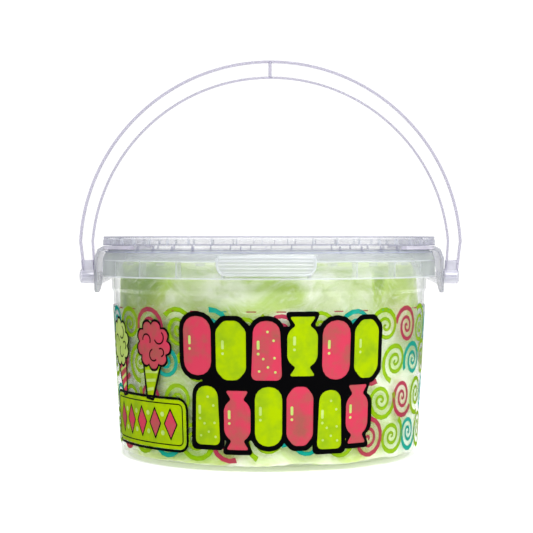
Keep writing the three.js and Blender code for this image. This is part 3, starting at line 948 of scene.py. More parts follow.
@dataclass
class TubMoulding:
    """The clear tub: its wall, the skirt below its rim, and the ribs, gussets and lugs between them."""

    foot_radius: float = 70.7
    floor_under: float = 1.2
    floor_top: float = 2.3
    stacking_foot: float = 3.3  # how wide the ring is that the tub stands on
    wall: float = 0.95
    middle_radius: float = 73.25
    middle_height: float = 49.0
    top_radius: float = 74.7
    step_height: float = 77.5
    step_rise: float = 1.6
    collar_radius: float = 75.5
    neck_radius: float = 76.7
    neck_wall: float = 1.3
    neck_foot: float = 95.2
    shoulder: float = 97.2
    rim: float = 101.8
    skirt_radius: float = 79.7
    skirt_wall: float = 1.0
    skirt_top: float = 92.3
    skirt_bottom: float = 84.5
    hem: float = 0.75  # how much of the skirt's foot is dressed as its edge
    rib_width: float = 0.9
    rib_first: float = 13.95  # degrees from the front
    rib_pitch: float = 16.2
    lug: tuple[float, float, float] = (0.9, 4.2, 1.4)
    lug_inset: float = 0.35
    lug_below_top: float = 1.3
    lug_first: float = 21.55
    lug_pitch: float = 15.2
    gusset_width: float = 0.5
    gusset_top: float = 99.0
    gusset_toe: float = 95.5
    stations: int = 44
    clear_of_ears: float = 40.0  # degrees to each side of an ear that have no gusset

    def outer_radius(self, height: float) -> float:
        """Give the wall's outer radius at a height.

        Args:
            height: The height above the foot.

        Returns:
            The radius there.
        """
        if height < self.middle_height:
            share = height / self.middle_height
            return self.foot_radius + (self.middle_radius - self.foot_radius) * share
        share = (height - self.middle_height) / (self.step_height - self.middle_height)
        return self.middle_radius + (self.top_radius - self.middle_radius) * share

    def build(self) -> None:
        """Make and dress every piece of the tub's own moulding."""
        self.wall_piece().hand_over(CLEAR_WALL.build(), Part.TUB)
        self.skirt_piece().hand_over(MILKY_SKIRT.build(), Part.TUB)
        # Painted highlight: the skirt's edge, the shoulder line, the lugs, the ribs and the ribs' outward faces get
        # paler finishes for the bright lines they show.
        bright = HIGHLIGHT_EDGE.build()
        self.skirt_edge().hand_over(bright, Part.TUB)
        self.shoulder_line().hand_over(bright, Part.TUB)
        self.lugs().hand_over(PALE_RIB.build(), Part.TUB)
        ribs = self.skirt_ribs()
        ribs.hand_over(PALE_RIB.build(), Part.TUB)
        ribs.dress_faces(bright, lambda at, normal: normal.dot(Vector((at.x, at.y, 0)).normalized()) > 0.6)
        # Painted shade and painted light: the gussets and the neck line are dressed as grey lines of shade, and the
        # shoulder bend as a bluish line of bent light.
        self.gussets().hand_over(GREY_EDGE.build(), Part.TUB)
        neck_line = self.bead("tub_neck_line", radius=76.4, foot=97.05, height=0.3)
        neck_line.hand_over(GREY_EDGE.build(), Part.TUB)
        shoulder_bend = self.bead("tub_shoulder_bend", radius=78.0, foot=95.95, height=0.5)
        shoulder_bend.hand_over(BLUE_BEND.build(), Part.TUB)

    def wall_piece(self) -> Workpiece:
        """Turn the floor, stacking foot, tapering wall, collar and neck.

        Returns:
            The wall, open at its mouth.
        """
        mouth = self.neck_radius - self.neck_wall
        foot_inside = self.foot_radius - self.stacking_foot
        profile = [
            Corner(0, self.floor_under),
            Corner(foot_inside - self.floor_under, self.floor_under, 0.4),
            Corner(foot_inside, 0, 0.4),
            Corner(self.foot_radius, 0, 0.9),
            Corner(self.middle_radius, self.middle_height),
            Corner(self.top_radius, self.step_height, 0.3),
            Corner(self.collar_radius, self.step_height + self.step_rise, 0.3),
            Corner(self.neck_radius - 0.7, self.neck_foot),
            Corner(self.neck_radius, self.shoulder),
            Corner(self.neck_radius, self.rim, 0.5),
            Corner(mouth, self.rim, 0.5),
            Corner(mouth - 0.2, self.neck_foot),
            Corner(self.collar_radius - self.wall, self.step_height + self.step_rise, 0.3),
            Corner(self.top_radius - self.wall, self.step_height, 0.3),
            Corner(self.middle_radius - self.wall, self.middle_height),
            Corner(self.foot_radius - self.wall, self.floor_top, 0.9),
            Corner(0, self.floor_top),
        ]
        return Workpiece.turned("tub_wall", profile, closed=False)

    def skirt_piece(self) -> Workpiece:
        """Turn the shoulder and the skirt that hangs from it.

        Returns:
            The skirt, down to its edge.
        """
        inside = self.skirt_radius - self.skirt_wall
        root = self.neck_radius - 0.4
        profile = [
            Corner(root - 0.4, self.neck_foot + 0.3),
            Corner(inside - 0.7, self.skirt_top + 1.8, 0.5),
            Corner(inside, self.skirt_top - 0.2, 0.5),
            Corner(inside, self.skirt_bottom + self.hem),
            Corner(self.skirt_radius, self.skirt_bottom + self.hem),
            Corner(self.skirt_radius, self.skirt_top, 0.35),
            Corner(self.skirt_radius - 0.7, self.skirt_top + 2.5, 1.0),
            Corner(self.skirt_radius - 1.6, self.skirt_top + 4, 0.5),
            Corner(root, self.shoulder),
        ]
        return Workpiece.turned("tub_skirt", profile)

    def skirt_edge(self) -> Workpiece:
        """Turn the skirt's rounded lower edge, dressed as a painted highlight where the light that runs inside the wall
        comes out.

        Returns:
            The edge.
        """
        inside = self.skirt_radius - self.skirt_wall
        profile = [
            Corner(inside, self.skirt_bottom + self.hem),
            Corner(inside, self.skirt_bottom, 0.4),
            Corner(self.skirt_radius, self.skirt_bottom, 0.4),
            Corner(self.skirt_radius, self.skirt_bottom + self.hem),
        ]
        return Workpiece.turned("tub_skirt_edge", profile)

    def shoulder_line(self) -> Workpiece:
        """Turn the fine bead where the shoulder turns down into the skirt, put there to carry a painted highlight: the
        bright line of that bend.

        Returns:
            The bead.
        """
        profile = [
            Corner(self.skirt_radius - 0.3, self.skirt_top - 0.25),
            Corner(self.skirt_radius + 0.05, self.skirt_top - 0.25, 0.12),
            Corner(self.skirt_radius + 0.05, self.skirt_top + 0.25, 0.12),
            Corner(self.skirt_radius - 0.3, self.skirt_top + 0.35),
        ]
        return Workpiece.turned("tub_shoulder_line", profile)

    @staticmethod
    def bead(name: str, radius: float, foot: float, height: float) -> Workpiece:
        """Turn a fine bead along a bend of the shoulder, put there to carry a painted line of shade or of bluish bent
        light.

        Args:
            name: The piece's name.
            radius: Its inner radius.
            foot: How high its lower edge is.
            height: How tall it is.

        Returns:
            The bead.
        """
        top, outside = foot + height, radius + 0.85
        return Workpiece.turned(
            name, [Corner(radius, foot), Corner(outside, foot, 0.1), Corner(outside, top, 0.1), Corner(radius, top)]
        )

    def skirt_ribs(self) -> Workpiece:
        """Stand the stiffening ribs behind the skirt.

        Returns:
            The ribs, as one piece.
        """
        inner, outer = self.collar_radius - BITE, self.skirt_radius - self.skirt_wall + BITE
        low, high = self.skirt_bottom + 0.6, self.skirt_top
        size = (outer - inner, self.rib_width, high - low)
        rib = Workpiece.block("tub_skirt_ribs", size, ((outer + inner) / 2, 0, (high + low) / 2))
        rib.soften(0.18)
        return rib.copied(self.on_each_side(self.rib_first, self.rib_pitch))

    @staticmethod
    def on_each_side(first: float, pitch: float) -> list[Matrix]:
        """Give four places to each side of the front and of the back, from the first on, in degrees."""
        offsets = [first + i * pitch for i in range(4)]
        return round_z(side + sign * offset for side in (-90, 90) for sign in (-1, 1) for offset in offsets)

    def lugs(self) -> Workpiece:
        """Set the small moulded lugs high up behind the skirt.

        Returns:
            The lugs, as one piece.
        """
        inside = self.skirt_radius - self.skirt_wall
        lug = Workpiece.block("tub_skirt_lugs", self.lug, (inside - 0.25, 0, self.skirt_top - self.lug_below_top))
        with lug.editing(Element.FACE):
            lug.pick(Element.FACE, lambda _, normal: normal.x < -0.9)
            bpy.ops.mesh.inset(thickness=self.lug_inset * MM)
            bpy.ops.transform.translate(value=metres(-0.4, 0, 0))
        lug.soften(0.15)
        return lug.copied(self.on_each_side(self.lug_first, self.lug_pitch))

    def gussets(self) -> Workpiece:
        """Stand the small gussets on the shoulder, clear of the ears' bands and of two places beside the tab.

        Returns:
            The gussets, as one piece.
        """
        outline = [
            Corner(self.neck_radius - BITE, self.gusset_top, 0.15),
            Corner(self.neck_radius + 0.6, self.gusset_top, 0.15),
            Corner(self.skirt_radius - 1.1, self.gusset_toe),
            Corner(self.neck_radius - BITE, self.shoulder - 1),
        ]
        gusset = Workpiece.plate("tub_neck_gussets", outline, self.gusset_width, back=self.gusset_width / 2)
        gusset.soften(0.12)
        beside_tab = (2, self.stations - 2)
        azimuths = []
        for i in range(self.stations):
            azimuth = -90 + i * 360 / self.stations
            from_ear = abs((azimuth + 90) % 180 - 90)
            if i not in beside_tab and from_ear > self.clear_of_ears:
                azimuths.append(azimuth)
        return gusset.copied(round_z(azimuths))


@dataclass
class OnTub:
    """Something that is fitted to the tub."""

    tub: TubMoulding = field(default_factory=TubMoulding)


@dataclass
class TearTab(OnTub):
    """The ridged pad on the front of the skirt, made flat and bent round it."""

    half_width: float = 21.8
    bottom: float = 86.1
    top: float = 95.0
    corner: float = 4.6
    rim: float = 0.85
    rim_top: float = 94.0
    pad_stands: float = 0.5
    rim_stands: float = 1.3
    ridge_stands: float = 1.0
    ridges: int = 5
    ridge_share: float = 0.32  # of the ridges' pitch
    ridge_gap: float = 0.3  # between a ridge's end and the rim
    lowest_gap: float = 1.1  # the same for the lowest ridge, which the rounded corners leave less room

    def build(self) -> None:
        """Make and dress the tab's pad, its rim and its ridges."""
        # Painted highlight: the rim and the grip ridges get paler finishes for the bright lines they show.
        finishes = (MILKY_TAB.build(), HIGHLIGHT_EDGE.build(), GRIP_RIDGE.build())
        for piece, material in zip((self.pad(), self.rim_piece(), self.grip()), finishes):
            piece.slice_across(2.0)
            piece.bend_round(self.tub.skirt_radius)
            piece.hand_over(material, Part.TUB)

    def outline(self, inset: float, above: float = 0.0) -> list[Corner]:
        """Give the tab's outline, drawn in by a margin on its sides and foot, and carried up past its top."""
        half, low, top, corner = self.half_width - inset, self.bottom + inset, self.rim_top + above, self.corner - inset
        return [Corner(-half, top), Corner(-half, low, corner), Corner(half, low, corner), Corner(half, top)]

    def pad(self) -> Workpiece:
        """Make the pad that the ridges lie on."""
        outline = self.outline(self.rim - 0.1, above=self.top - self.rim_top)
        return Workpiece.plate("tear_tab_pad", outline, self.pad_stands + 0.3, back=0.3)

    def rim_piece(self) -> Workpiece:
        """Raise the rim round the sides and foot of the pad.

        Returns:
            The rim, still flat.
        """
        rim = Workpiece.plate("tear_tab_rim", self.outline(0), self.rim_stands + 0.4, back=0.4)
        rim.combine(Workpiece.plate("hole", self.outline(self.rim, above=1), 4, back=1), Combine.TAKE_AWAY)
        rim.soften(0.3, segments=3)
        return rim

    def grip(self) -> Workpiece:
        """Lay the grip ridges across the pad.

        Returns:
            The ridges, still flat.
        """
        pitch = (self.top - self.bottom - self.rim) / self.ridges
        stands = self.ridge_stands - self.pad_stands
        ridges = []
        for i in range(self.ridges):
            middle = self.bottom + self.rim + (i + 0.5) * pitch
            gap = self.ridge_gap if i else self.lowest_gap
            size = (2 * (self.half_width - self.rim) - 2 * gap, stands + BITE, self.ridge_share * pitch)
            ridge = Workpiece.block(f"ridge_{i}", size, (0, -self.pad_stands - stands / 2 + BITE / 2, middle))
            ridge.soften(0.18, segments=3)
            ridges.append(ridge)
        return Workpiece.joined("tear_tab_ridges", ridges)


@dataclass
class Ear(OnTub):
    """One of the two curved plates that carry the handle's pins, made on the right and turned round for the left."""

    radius: float = 83.9
    wall: float = 1.3
    tip: float = 76.6
    half_width_top: float = 20.5
    half_width_tip: float = 8.0
    tip_corner: float = 6.0
    trim_top: float = 103.0  # where the tongue's slanting sides end, clear above the plate
    trim_reach: float = 90.0
    bend: tuple[float, float] = (82.3, 93.4)  # the radius at the band and the height where the plate bends in
    sweep: int = 56  # degrees that the plate spans before it is trimmed
    band_top: float = 99.0
    band_bottom: float = 97.5
    band_radius: float = 79.5
    band_span: int = 38  # degrees to each side
    web: float = 0.9
    web_offset: float = 4.0  # degrees
    pivot_height: float = 84.4
    pin_radius: float = 2.0
    head_radius: float = 3.2
    head_start: float = 90.8
    head_end: float = 91.4
    head_dome: float = 0.9  # how far the head's rounded edge reaches in

    def build(self) -> None:
        """Make and dress both ears."""
        finish, cut, band = EAR_PLASTIC.build(), EAR_CUT.build(), EAR_BAND.build()
        for side, name in ((0, "right"), (180, "left")):
            plate = self.plate(name)
            for piece in (plate, self.webs(name), self.pin(name)):
                piece.turn(side)
                piece.hand_over(finish, Part.TUB)
            # Painted shade: the tongue's cut edge gets a dark finish for the darkening that its edge-on plastic shows.
            plate.dress_faces(cut, self.on_cut)
            plate.dress_faces(band, self.on_band)

    @staticmethod
    def on_cut(at: Vector, normal: Vector) -> bool:
        """Tell whether a face lies on the tongue's cut edge, which faces neither in nor out nor up."""
        outwards = Vector((at.x, at.y, 0)).normalized()
        return abs(normal.dot(outwards)) < 0.5 and normal.z < 0.5

    def on_band(self, at: Vector, normal: Vector) -> bool:
        """Tell whether a face lies on the band, past the tongue's sides."""
        beside = abs(at.y) > self.half_width_top - 4 and math.hypot(at.x, at.y) < self.band_radius + 0.5
        return at.z > self.band_bottom - NEAR and beside

    def plate(self, side: str) -> Workpiece:
        """Sweep the ear's section round, trim it to a tongue and give it the band that ties it to the neck.

        Args:
            side: The side's name.

        Returns:
            The plate with its band, on the right.
        """
        inside = self.radius - self.wall
        root = self.tub.neck_radius - 0.3
        bend_radius, bend_height = self.bend
        section = [
            Corner(inside, self.tip - 1),
            Corner(self.radius, self.tip - 1),
            Corner(self.radius, bend_height, 0.4),
            Corner(bend_radius, self.band_bottom, 0.4),
            Corner(self.band_radius, self.band_top, 0.4),
            Corner(root, self.band_top),
            Corner(root, self.band_bottom),
            Corner(self.band_radius - 0.5, self.band_bottom, 0.4),
            Corner(inside - 1, self.band_bottom - self.wall, 0.8),
            Corner(inside, bend_height - 0.4, 0.8),
        ]
        plate = Workpiece.turned(f"ear_plate_{side}", section, sweep=self.sweep, steps=self.sweep)
        tongue = [
            Corner(-self.half_width_top, self.trim_top),
            Corner(-self.half_width_tip, self.tip, self.tip_corner),
            Corner(self.half_width_tip, self.tip, self.tip_corner),
            Corner(self.half_width_top, self.trim_top),
        ]
        trim = Workpiece.plate("trim", tongue, self.trim_reach)
        trim.turn(90)
        plate.combine(trim, Combine.KEEP_COMMON)
        strap = rectangle(root, self.band_radius, self.band_bottom, self.band_top)
        band = Workpiece.turned("band", strap, sweep=2 * self.band_span, steps=2 * self.band_span)
        plate.combine(band, Combine.JOIN)
        plate.soften(0.2)
        return plate

    def webs(self, side: str) -> Workpiece:
        """Stand the two triangular webs between the plate and the collar.

        Args:
            side: The side's name.

        Returns:
            The webs, on the right.
        """
        inside = self.radius - self.wall
        outline = [
            Corner(self.tub.collar_radius, self.tub.skirt_bottom + 2),
            Corner(inside + BITE, self.tub.skirt_bottom + 2),
            Corner(inside + BITE, self.tip + 3.2, 0.3),
            Corner(self.tub.collar_radius, self.tub.skirt_bottom - 0.8, 0.3),
        ]
        web = Workpiece.plate(f"ear_webs_{side}", outline, self.web, back=self.web / 2)
        web.soften(0.15)
        return web.copied(round_z((-self.web_offset, self.web_offset)))

    def pin(self, side: str) -> Workpiece:
        """Turn the pin with its domed head.

        Args:
            side: The side's name.

        Returns:
            The pin, on the right.
        """
        pin = Workpiece.rod(
            f"ear_pin_{side}",
            self.pin_radius,
            (self.radius - 0.3, 0, self.pivot_height),
            (self.head_end, 0, self.pivot_height),
        )
        half_thick = metres((self.head_end - self.head_start) / 2, 0, 0)
        grow = self.head_radius / self.pin_radius
        with pin.editing(Element.FACE):
            pin.pick(Element.FACE, lambda at, normal: normal.x > 0.9)
            bpy.ops.transform.translate(value=metres(self.head_start - self.head_end, 0, 0))
            extrude(metres(0, 0, 0))
            centre = metres(self.head_start, 0, self.pivot_height)
            bpy.ops.transform.resize(value=(1, grow, grow), center_override=centre)
            extrude(half_thick)
            bpy.ops.mesh.inset(thickness=self.head_dome * MM)
            bpy.ops.transform.translate(value=half_thick)
        pin.soften(0.2)
        return pin


# ---- Lid ----


@dataclass
class Lid(OnTub):
    """The pressed-on lid: a recessed panel in a hooked ring, with ribs inside the ring."""

    radius: float = 79.6
    top: float = 103.4
    foot: float = 99.3
    wall: float = 1.0
    panel_under: float = 92.2
    panel_top: float = 93.2
    plug_radius: float = 74.7
    mouth_radius: float = 75.0
    rim_clearance: float = 0.3
    step_height: float = 101.7
    step_depth: float = 0.25
    stacking_ring: float = 66.0
    stacking_rise: float = 0.8
    rib_width: float = 0.32
    line: float = 0.35  # how tall the line is that a corner shows
    turned_by: float = -1.3  # degrees that it sits turned on the tub

    def build(self) -> None:
        """Make and dress the lid's ring and ribs."""
        self.shell().hand_over(MILKY_LID.build(), Part.LID)
        # Painted highlight on the ribs; the top and foot lines and the rib feet carry painted shade.
        self.ribs().hand_over(HIGHLIGHT_EDGE.build(), Part.LID)
        corner = DARK_CORNER.build()
        top_line = self.edge_line("lid_top_line", self.radius - self.step_depth, self.top - self.line)
        top_line.hand_over(corner, Part.LID)
        self.edge_line("lid_foot_line", self.radius, self.foot).hand_over(corner, Part.LID)
        self.rib_feet().hand_over(GREY_EDGE.build(), Part.LID)

    def shell(self) -> Workpiece:
        """Turn the panel, well and hooked ring.

        Returns:
            The lid without its ribs.
        """
        inside, clear_of_rim = self.radius - self.wall, self.tub.rim + self.rim_clearance
        well = self.plug_radius - self.wall
        narrower = self.radius - self.step_depth
        ring_top = self.panel_top + self.stacking_rise
        profile = [
            Corner(0, self.panel_under),
            Corner(self.plug_radius - 1.2, self.panel_under, 0.4),
            Corner(self.plug_radius, self.panel_under + 1.2, 0.4),
            Corner(self.mouth_radius, clear_of_rim, 0.3),
            Corner(inside, clear_of_rim, 0.3),
            Corner(inside, self.foot, 0.25),
            Corner(self.radius, self.foot, 0.25),
            Corner(self.radius, self.step_height),
            Corner(narrower, self.step_height + 0.3),
            Corner(narrower, self.top, 0.45),
            Corner(well, self.top, 0.6),
            Corner(well, self.panel_top, 1.0),
            Corner(self.stacking_ring + 0.9, self.panel_top, 0.3),
            Corner(self.stacking_ring + 0.35, ring_top, 0.25),
            Corner(self.stacking_ring - 0.35, ring_top, 0.25),
            Corner(self.stacking_ring - 0.9, self.panel_top, 0.3),
            Corner(0, self.panel_top),
        ]
        return Workpiece.turned("lid_shell", profile, closed=False)

    def ribs(self) -> Workpiece:
        """Stand the ribs between the tub's neck and the ring.

        Returns:
            The ribs, as one piece.
        """
        inner, outer = self.tub.neck_radius + 0.3, self.radius - self.wall + BITE
        low, high = self.foot + 0.2, self.tub.rim + self.rim_clearance + BITE
        size = (outer - inner, self.rib_width, high - low)
        return Workpiece.block("lid_ribs", size, ((outer + inner) / 2, 0, (high + low) / 2)).copied(self.places())

    def places(self) -> list[Matrix]:
        """Give the places of the ribs round the ring."""
        return round_z(-90 + self.turned_by + i * 360 / self.tub.stations for i in range(self.tub.stations))

    def rib_feet(self) -> Workpiece:
        """Set the small round foot where each rib meets the tub's neck, dressed as a dark dot of painted shade.

        Returns:
            The feet, as one piece.
        """
        out = self.tub.neck_radius + 0.9
        foot = Workpiece.rod("lid_rib_feet", 0.28, (out, 0, self.foot + 0.2), (out, 0, self.foot + 1.0), sides=12)
        return foot.copied(self.places())

    def edge_line(self, name: str, radius: float, foot: float) -> Workpiece:
        """Turn the fine line of painted shade that a moulded corner shows where it bends the light away."""
        return Workpiece.turned(name, rectangle(radius - BITE, radius + 0.03, foot, foot + self.line))


# ---- Handle ----


@dataclass
class BailHandle:
    """The swinging bail: two ribs joined by a thin web, with eyes that turn on the ears' pins."""

    outer_radius: float = 92.3
    outer_height: float = 95.8
    inner_radius: float = 85.7
    inner_height: float = 93.9
    leg_top: float = 101.2
    foot: float = 86.0
    foot_outer: float = 90.3
    foot_inner: float = 84.4
    outer_lean: float = 1.6  # how much farther out the leg's side is at its top than at its foot
    inner_lean: float = 0.9
    outer_rib: float = 0.95
    inner_rib: float = 0.75
    rib_depth: float = 4.6
    sprung: float = 0.5  # how far the soft bail has sprung to the right
    web: float = 0.9
    block_top: float = 92.2
    block_foot: float = 84.5
    crown_rib: float = 1.5
    pivot_height: float = 84.4
    eye_radius: float = 3.55
    eye_bore: float = 2.1
    eye_start: float = 84.3
    eye_end: float = 90.7
    arc_steps: int = 48

    def __post_init__(self) -> None:
        """Work out each rib's middle line: its radius, the height of its centre and how far out its foot is."""
        out, inwards = self.outer_rib / 2, self.inner_rib / 2
        self.outer_line = (self.outer_radius - out, self.outer_height, self.foot_outer - out)
        self.inner_line = (self.inner_radius + inwards, self.inner_height, self.foot_inner + inwards)

    def build(self) -> None:
        """Make and dress the bail."""
        edge_on, hub = HANDLE_EDGE.build(), HANDLE_HUB.build()
        ribs = (
            self.arc_rib("handle_outer_rib", self.outer_rib, *self.outer_line),
            self.arc_rib("handle_inner_rib", self.inner_rib, *self.inner_line),
            self.crown(),
        )
        for piece in ribs:
            piece.shift(x=self.sprung)
            piece.hand_over(edge_on, Part.HANDLE)
        for piece in (self.foot_piece("right", 0), self.foot_piece("left", 180)):
            piece.hand_over(hub, Part.HANDLE)
        web = self.web_piece()
        web.shift(x=self.sprung)
        web.hand_over(HANDLE_WEB.build(), Part.HANDLE)

    def half_line(self, radius: float, centre: float, foot_at: float) -> None:
        """In edit mode, carry what is selected at the crown round to the right and down to the foot.

        Args:
            radius: The arc's radius.
            centre: The height of the arc's centre.
            foot_at: How far out the leg's foot is.
        """
        rise = math.asin((self.leg_top - centre) / radius)
        bpy.ops.mesh.spin(steps=self.arc_steps, angle=math.pi / 2 - rise, center=metres(0, 0, centre), axis=(0, -1, 0))
        down = metres(foot_at - radius * math.cos(rise), 0, self.foot - self.leg_top)
        extrude(down)

    def arc_rib(self, name: str, thickness: float, radius: float, centre: float, foot_at: float) -> Workpiece:
        """Sweep one rib's section from the crown to the right foot and mirror it.

        Args:
            name: The piece's name.
            thickness: How thick the rib is.
            radius: The radius of the rib's middle line.
            centre: The height of the arc's centre.
            foot_at: How far out the foot is.

        Returns:
            The rib from foot to foot.
        """
        rib = Workpiece.patch(name, (thickness, self.rib_depth), (0, 0, centre + radius), tilt=90)
        with rib.editing(Element.FACE):
            pick_all()
            self.half_line(radius, centre, foot_at)
            bpy.ops.transform.resize(value=(1, 1, 0), center_override=metres(foot_at, 0, self.foot))
        rib.mirrored()
        rib.soften(0.25, segments=3)
        return rib

    def web_piece(self) -> Workpiece:
        """Bridge the ribs' middle lines and give the sheet its thickness.

        Returns:
            The web from foot to foot.
        """
        halves = []
        for radius, centre, foot_at in (self.outer_line, self.inner_line):
            line = Workpiece.drawn("web_line", [Corner(0, centre + radius)], closed=False)
            with line.editing(Element.POINT):
                pick_all()
                self.half_line(radius, centre, foot_at)
            halves.append(line)
        web = Workpiece.joined("handle_web", halves)
        with web.editing(Element.EDGE):
            pick_all()
            bpy.ops.mesh.bridge_edge_loops()
            pick_all()
            bpy.ops.transform.translate(value=metres(0, self.web / 2, 0))
            extrude(metres(0, -self.web, 0))
        web.mirrored()
        return web

    def crown(self) -> Workpiece:
        """Set the cross rib in the middle of the crown.

        Returns:
            The rib.
        """
        low = self.inner_height + self.inner_radius + self.inner_rib / 2
        high = self.outer_height + self.outer_radius - self.outer_rib / 2
        size = (self.crown_rib, self.rib_depth - 0.4, high - low)
        crown = Workpiece.block("handle_crown_rib", size, (0, 0, (high + low) / 2))
        crown.soften(0.25)
        return crown

    def foot_piece(self, side: str, turned: float) -> Workpiece:
        """Join a leg's foot block to the eye below it.

        Args:
            side: The side's name.
            turned: How far round the foot is from the right-hand one, in degrees.

        Returns:
            The foot with its eye.
        """
        rise = (self.block_top - self.foot) / (self.leg_top - self.foot)
        outline = [
            Corner(self.foot_inner + 0.2, self.block_foot),
            Corner(self.foot_outer - 0.2, self.block_foot),
            Corner(self.foot_outer + self.outer_lean * rise - 0.3, self.block_top, 0.5),
            Corner(self.foot_inner + self.inner_lean * rise + 0.3, self.block_top, 0.5),
        ]
        block = Workpiece.plate(f"handle_foot_{side}", outline, self.rib_depth, back=self.rib_depth / 2)
        for radius, past, how in ((self.eye_radius, 0, Combine.JOIN), (self.eye_bore, 2, Combine.TAKE_AWAY)):
            ends = [(x, 0, self.pivot_height) for x in (self.eye_start - past, self.eye_end + past)]
            block.combine(Workpiece.rod("eye", radius, *ends), how)
        block.soften(0.25, segments=3)
        block.turn(turned)
        return block


# ---- Floss ----


class Drift(NamedTuple):
    """A place where the floss is whiter or greener than the noise alone makes it."""

    azimuth: float  # degrees round from the front
    height: float
    half_width: float
    half_height: float
    white: float  # how much whiter; below 0 it is greener


@dataclass
class Floss(OnTub):
    """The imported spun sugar, with loose threads between it and the wall."""

    radius: float = 71.8
    floor: float = 2.4
    top: float = 91.6
    shoulder: float = 5.0
    lobe_size: float = 36.0
    lobe_depth: float = 5.5
    clump_size: float = 11.0
    clump_depth: float = 2.4
    tuft_size: float = 3.2
    tuft_depth: float = 0.7
    fold_depth: float = 3.0
    heel: float = 12.0  # how high up the weight presses it against the wall
    heel_press: float = 1.6  # how fast that closes the gap to the wall
    touching: float = 18.0  # up to this height its body follows the wall
    turn_steps: int = 352
    lock_kinds: int = 4
    locks: int = 45  # of each kind
    lock_threads: int = 7
    thread_steps: int = 8
    thread_radius: float = 0.035
    thread_margins: tuple[float, float] = (14.0, 12.0)  # without threads, above the floor and below the top
    threads_inside: float = 0.7  # how far inside the floss's radius they lie
    seed: int = 7
    drifts: tuple[Drift, ...] = (
        # Painted shade: the upper left is made much greener and darker, for floss in shade there.
        Drift(-63, 87, 28, 14, -3.2),
        Drift(-26, 79, 18, 9, 1.3),
        Drift(-10, 79, 14, 6, 0.7),
        Drift(-25, 86, 12, 6, 0.3),
        Drift(6, 87, 12, 6, 0.5),
        Drift(4, 78, 13, 7, -0.5),
        Drift(29, 81, 18, 9, 3.0),
        Drift(45, 84, 4, 10, -3.0),
        Drift(66, 84, 14, 14, -0.4),
        Drift(-30, 6, 40, 9, -0.8),
        Drift(52, 45, 12, 32, 0.7),
        Drift(-52, 42, 26, 30, -0.9),
        # Painted shade: narrow darker green bands at both sides, where the floss turns away near the wall's edges.
        Drift(-70, 50, 4, 45, -0.8),
        Drift(70, 50, 4, 45, -0.8),
        Drift(120, 40, 40, 30, 0.8),
        Drift(-130, 60, 40, 22, 0.8),
        Drift(178, 25, 30, 24, 0.8),
        Drift(150, 84, 40, 12, -0.8),
    )

    def build(self) -> None:
        """Make and dress the floss and its threads."""
        self.bulk().hand_over(FLOSS.build(), Part.FLOSS)
        self.loose_threads().hand_over(FLOSS_THREADS.build(), Part.FLOSS)

    def limit(self, height: float) -> float:
        """Give how far out the floss can lie at a height: nearly upright, and never into the wall."""
        return min(self.radius, self.tub.outer_radius(height) - self.tub.wall - 0.1)

    def bulk(self) -> Workpiece:
        """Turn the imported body, then sink folds, clumps and tufts into it.

        Returns:
            The body.
        """
        low, foot_round, side = self.floor, 0.8, self.radius - 3
        profile = [
            Corner(0, low),
            Corner(self.limit(low) - foot_round, low),
            Corner(self.limit(low + foot_round), low + foot_round),
            Corner(self.limit(self.touching), self.touching),
            Corner(self.radius, self.top - self.shoulder),
            Corner(self.radius - self.shoulder / 2, self.top - 1.2),
            Corner(self.radius - self.shoulder, self.top),
            Corner(0, self.top),
        ]
        bulk = Workpiece.drawn("floss", profile, closed=False)
        with bulk.editing(Element.EDGE):
            for cuts, test in (
                (60, lambda at: at.x > side and self.touching < at.z < self.top - self.shoulder),
                (12, lambda at: at.x > side and low + foot_round + 0.1 < at.z < self.touching),
                (50, lambda at: at.z > self.top - NEAR),
                (12, lambda at: at.z < low + NEAR),
                (3, lambda at: self.top - self.shoulder < at.z < self.top - 0.1),
            ):
                bulk.pick(Element.EDGE, lambda at, _, test=test: test(at))
                bpy.ops.mesh.subdivide(number_cuts=cuts)
            pick_all()
            bpy.ops.mesh.spin(steps=self.turn_steps, angle=2 * math.pi, center=(0, 0, 0), axis=(0, 0, 1))
            bulk.make_sound()
        self.swell(bulk, "floss_lobes", "VORONOI", self.lobe_size, self.lobe_depth, 0.56)
        self.swell(bulk, "floss_clumps", "CLOUDS", self.clump_size, self.clump_depth, 0.4)
        self.press(bulk)
        self.swell(bulk, "floss_tufts", "CLOUDS", self.tuft_size, self.tuft_depth, 0.0)
        return bulk

    def swell(self, piece: Workpiece, name: str, kind: str, size: float, depth: float, level: float) -> None:
        """Swell and sink the surface by a noise.

        Args:
            piece: What is shaped.
            name: The noise's name.
            kind: Its type.
            size: Its grain.
            depth: How far apart its highest and lowest places are.
            level: The noise's value at which the surface stays; above it the surface sinks.
        """
        noise = bpy.data.textures.new(name, kind)
        noise.noise_scale = size * MM
        piece.apply(
            "DISPLACE", texture=noise, texture_coords="LOCAL", direction="NORMAL", mid_level=level, strength=-depth * MM
        )

    def press(self, piece: Workpiece) -> None:
        """Flatten what swells past the wall, floor or top, and write how deep each other point lies in a fold.

        Args:
            piece: The floss's body.
        """
        mesh = piece.obj.data
        places = np.empty(len(mesh.vertices) * 3, np.float32)
        mesh.vertices.foreach_get("co", places)
        places = places.reshape(-1, 3) / MM
        places[:, 2] = np.clip(places[:, 2], self.floor, self.top)
        limits = np.array([self.limit(z) for z in places[:, 2]])
        out = np.maximum(np.hypot(places[:, 0], places[:, 1]), 1e-6)
        gap = np.maximum(limits - out, 0)
